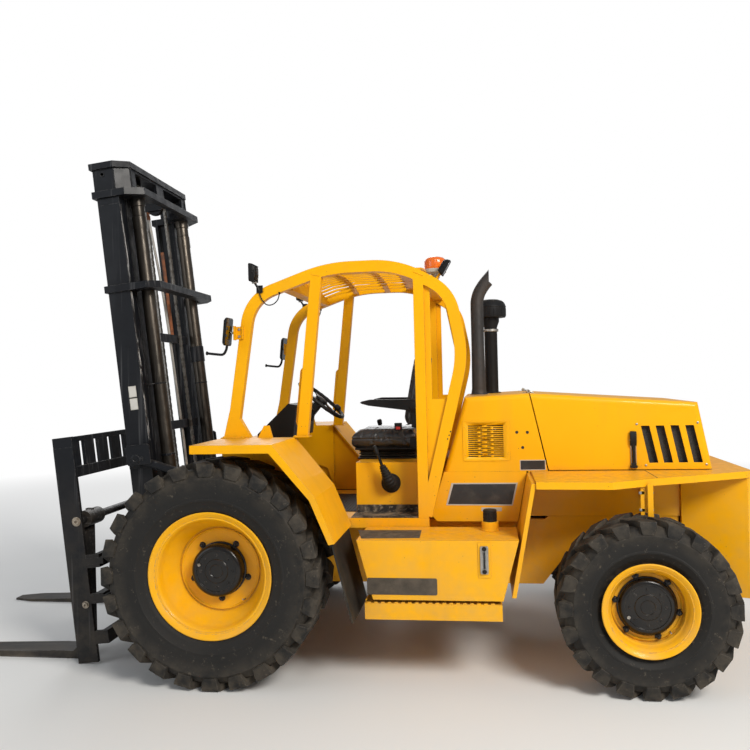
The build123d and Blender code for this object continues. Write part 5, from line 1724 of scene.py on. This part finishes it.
def mirrors():
    piece = Piece("mirrors")
    hoop_lean = 0.155
    arm_y = 674
    for side, lift in ((-1, 0), (1, 56)):
        # each follows the leaning hoop; the left one is clamped higher
        shift = -hoop_lean * lift

        def place(x, y, z):
            return at(x + shift, y, z + lift)

        def row(x, grow):
            near, far = 624 - grow, 754 + grow
            foot, head = 1890 - grow, 2060 + grow
            ring = ((near, foot + 10), (near + 14, foot), (far - 14, foot), (far, foot + 10),
                    (far, head - 10), (far - 14, head), (near + 14, head), (near, head - 10))
            return [place(x - 0.1 * (z - 1975), side * y, z) for y, z in ring]

        piece.place = place

        piece.rings([row(9, -3), row(8.5, 0), row(18, 0), row(28, -8), row(33.5, -26)], 0)
        piece.rings([row(7.6, -6), row(8.9, -5)], 1)
        piece.box((-60, side * (cab_y + 0.3), 1932), (-50, side * (cab_y + 13), 2008), 2)
        piece.box((-62, side * 615, 1930), (-4, side * 618, 2010), 2)
        reach = cab_y + (37 if side > 0 else 13)
        piece.box((-14, side * (cab_y + 0.3), 1926), (-5, side * reach, 2014), 2)
        for z in (1948, 1992):
            piece.bolt((-32, side * 618, z), (0, side, 0), 7, 6, 3)
        arm = ((28, 1893), (36, 1862), (56, 1838), (100, 1840), (160, 1848))
        piece.tube(bend([(x, side * arm_y, z) for x, z in arm], 6), 8, 0, 12)
        piece.turned([(10, -4), (12, 0), (12, 6), (8, 8)], (156, side * arm_y, 1847.6), (1, 0, 0.07), 16)
        piece.tube([(-8, side * 636, 1970), (14, side * 640, 1972)], 8, 3, 12)
    finishes = [plastic, mirror_glass, yellow, zinced]
    return piece.make("chassis", finishes, "black_plastic", bevel=1)


lamps()
mirrors()


# Foot plates, bolts, small holes and welds of the overhead guard
def guard_trim():
    piece = Piece("guard_trim")
    fender = 1372.2
    top = 1378
    for side in (-1, 1):
        out = side * cab_face
        # foot plates on the fender's top, bolted down
        piece.box((-70, side * 552, fender), (80, side * 660, top))
        piece.box((-478, side * 556, fender), (-378, side * 652, top))
        for x in (-54, 64, -466, -390):
            piece.bolt((x, side * 640, top), up_axis, 8, 7)
        # three small holes low on the rear leg
        for x, z in ((-1341, 1392), (-1333, 1370), (-1323, 1348)):
            piece.turned([(4.5, 0), (4.5, 0.6), (0, 0.6)], (x, out, z), (0, side, 0), 14, 1)
        # welds where the posts meet the hoop and the beam
        for x0, z0, x1, z1 in ((-560, 2362, -510, 2374), (-1196, 2338, -1140, 2364)):
            piece.tube([(x0, side * 613, z0), (x1, side * 613, z1)], 4, sides=8)
    return piece.make("chassis", [yellow, plate_black], "yellow_paint", bevel=1)


guard_trim()


# Mudflaps: rubber with a clamp strip and its bolts
def mudflap_trim():
    piece = Piece("mudflap_strips")
    for side in (-1, 1):
        strip = [(-690, 846), (-700, 806), (-694, 804.6), (-684, 844)]
        piece.prism(strip, side * 652, side * 1146)
        for k in range(5):
            piece.bolt((-690, side * (690 + 104 * k), 825), (0.97, 0, -0.24), 7, 5, 1)
    return piece.make("chassis", [mast_black, zinced], "black_paint")


mudflap_trim()


# Floor, light and camera
def studio():
    """Soft light from all around, in front of a white background."""
    world = bpy.context.scene.world or bpy.data.worlds.new("studio")
    bpy.context.scene.world = world
    world.use_nodes = True
    tree = world.node_tree
    tree.nodes.clear()
    path = tree.nodes.new("ShaderNodeLightPath")
    seen = tree.nodes.new("ShaderNodeMath")
    seen.operation = "MAXIMUM"
    tree.links.new(path.outputs["Is Camera Ray"], seen.inputs[0])
    tree.links.new(path.outputs["Is Transmission Ray"], seen.inputs[1])
    mix = tree.nodes.new("ShaderNodeMixShader")
    tree.links.new(seen.outputs[0], mix.inputs[0])
    for k, color, strength in ((1, (0.93, 0.96, 1.0, 1), 0.36), (2, (1, 1, 1, 1), 1.0)):
        light = tree.nodes.new("ShaderNodeBackground")
        light.inputs["Color"].default_value = color
        light.inputs["Strength"].default_value = strength
        tree.links.new(light.outputs[0], mix.inputs[k])
    out = tree.nodes.new("ShaderNodeOutputWorld")
    tree.links.new(mix.outputs[0], out.inputs[0])


def floor():
    mesh = bpy.data.meshes.new("floor")
    reach = 40.0
    corners = [(-reach, -reach, 0), (reach, -reach, 0), (reach, reach, 0), (-reach, reach, 0)]
    mesh.from_pydata(corners, [], [(0, 1, 2, 3)])
    made = linked("floor", mesh)
    f = Finish("floor", (0.80, 0.80, 0.79), 0.9)
    f.tint(f.patch(0.7, 3, 0.35, 0.7, 0.3), (0.77, 0.77, 0.76))
    material = f.done()
    # far out the floor turns to the white of the background, for the camera alone
    away = f.node("VectorMath", f.place, operation="LENGTH").outputs["Value"]
    share = f.fit(away, 4.0, 12.0)
    seen = f.node("LightPath").outputs["Is Camera Ray"]
    share = f.times(share, seen)
    glow = f.node("Emission")
    mix = f.node("MixShader", share, f.shader.outputs[0], glow.outputs[0])
    f.tree.links.new(mix.outputs[0], f.tree.nodes["Material Output"].inputs["Surface"])
    mesh.materials.append(material)


def lamp(name, spot, aim, size, power, color):
    light = bpy.data.lights.new(name, "AREA")
    light.size = size
    light.energy = power
    light.color = color
    made = linked(name, light)
    made.location = spot
    made.rotation_euler = (Vector(aim) - Vector(spot)).to_track_quat("-Z", "Y").to_euler()


def camera():
    """The photograph's viewpoint, from its turn, tilt and roll in radians and its focal length in pixels."""
    turn = 0.1407
    tilt = 0.0062
    roll = -0.0244
    focal = 786.8
    picture = 750.0
    eye = (-1.1579, 5.3618, 1.7137)
    ahead = Vector((sin(turn), -cos(turn), 0)) * cos(tilt) + Vector((0, 0, sin(tilt)))
    right = Vector((-cos(turn), -sin(turn), 0))
    up = right.cross(ahead)
    x_axis = right * cos(roll) + up * sin(roll)
    y_axis = up * cos(roll) - right * sin(roll)
    data = bpy.data.cameras.new("camera")
    data.sensor_width = 36.0
    data.lens = focal * data.sensor_width / picture
    made = linked("camera", data)
    made.matrix_world = Matrix((x_axis, y_axis, -ahead)).transposed().to_4x4()
    made.location = eye
    bpy.context.scene.camera = made


studio()
floor()
lamp("key", (-5.5, 6.5, 6.5), aim=(0, 0, 1.2), size=3.0, power=760, color=(1.0, 0.96, 0.90))
lamp("fill", (6.5, 6.0, 3.5), aim=(0.5, 0, 1.2), size=5.0, power=115, color=(0.92, 0.96, 1.0))
lamp("back", (2.0, -7.0, 5.0), aim=(0, 0, 1.4), size=5.0, power=230, color=(1.0, 1.0, 1.0))
camera()
bpy.context.scene.view_settings.view_transform = "Standard"

bpy.context.view_layer.update()
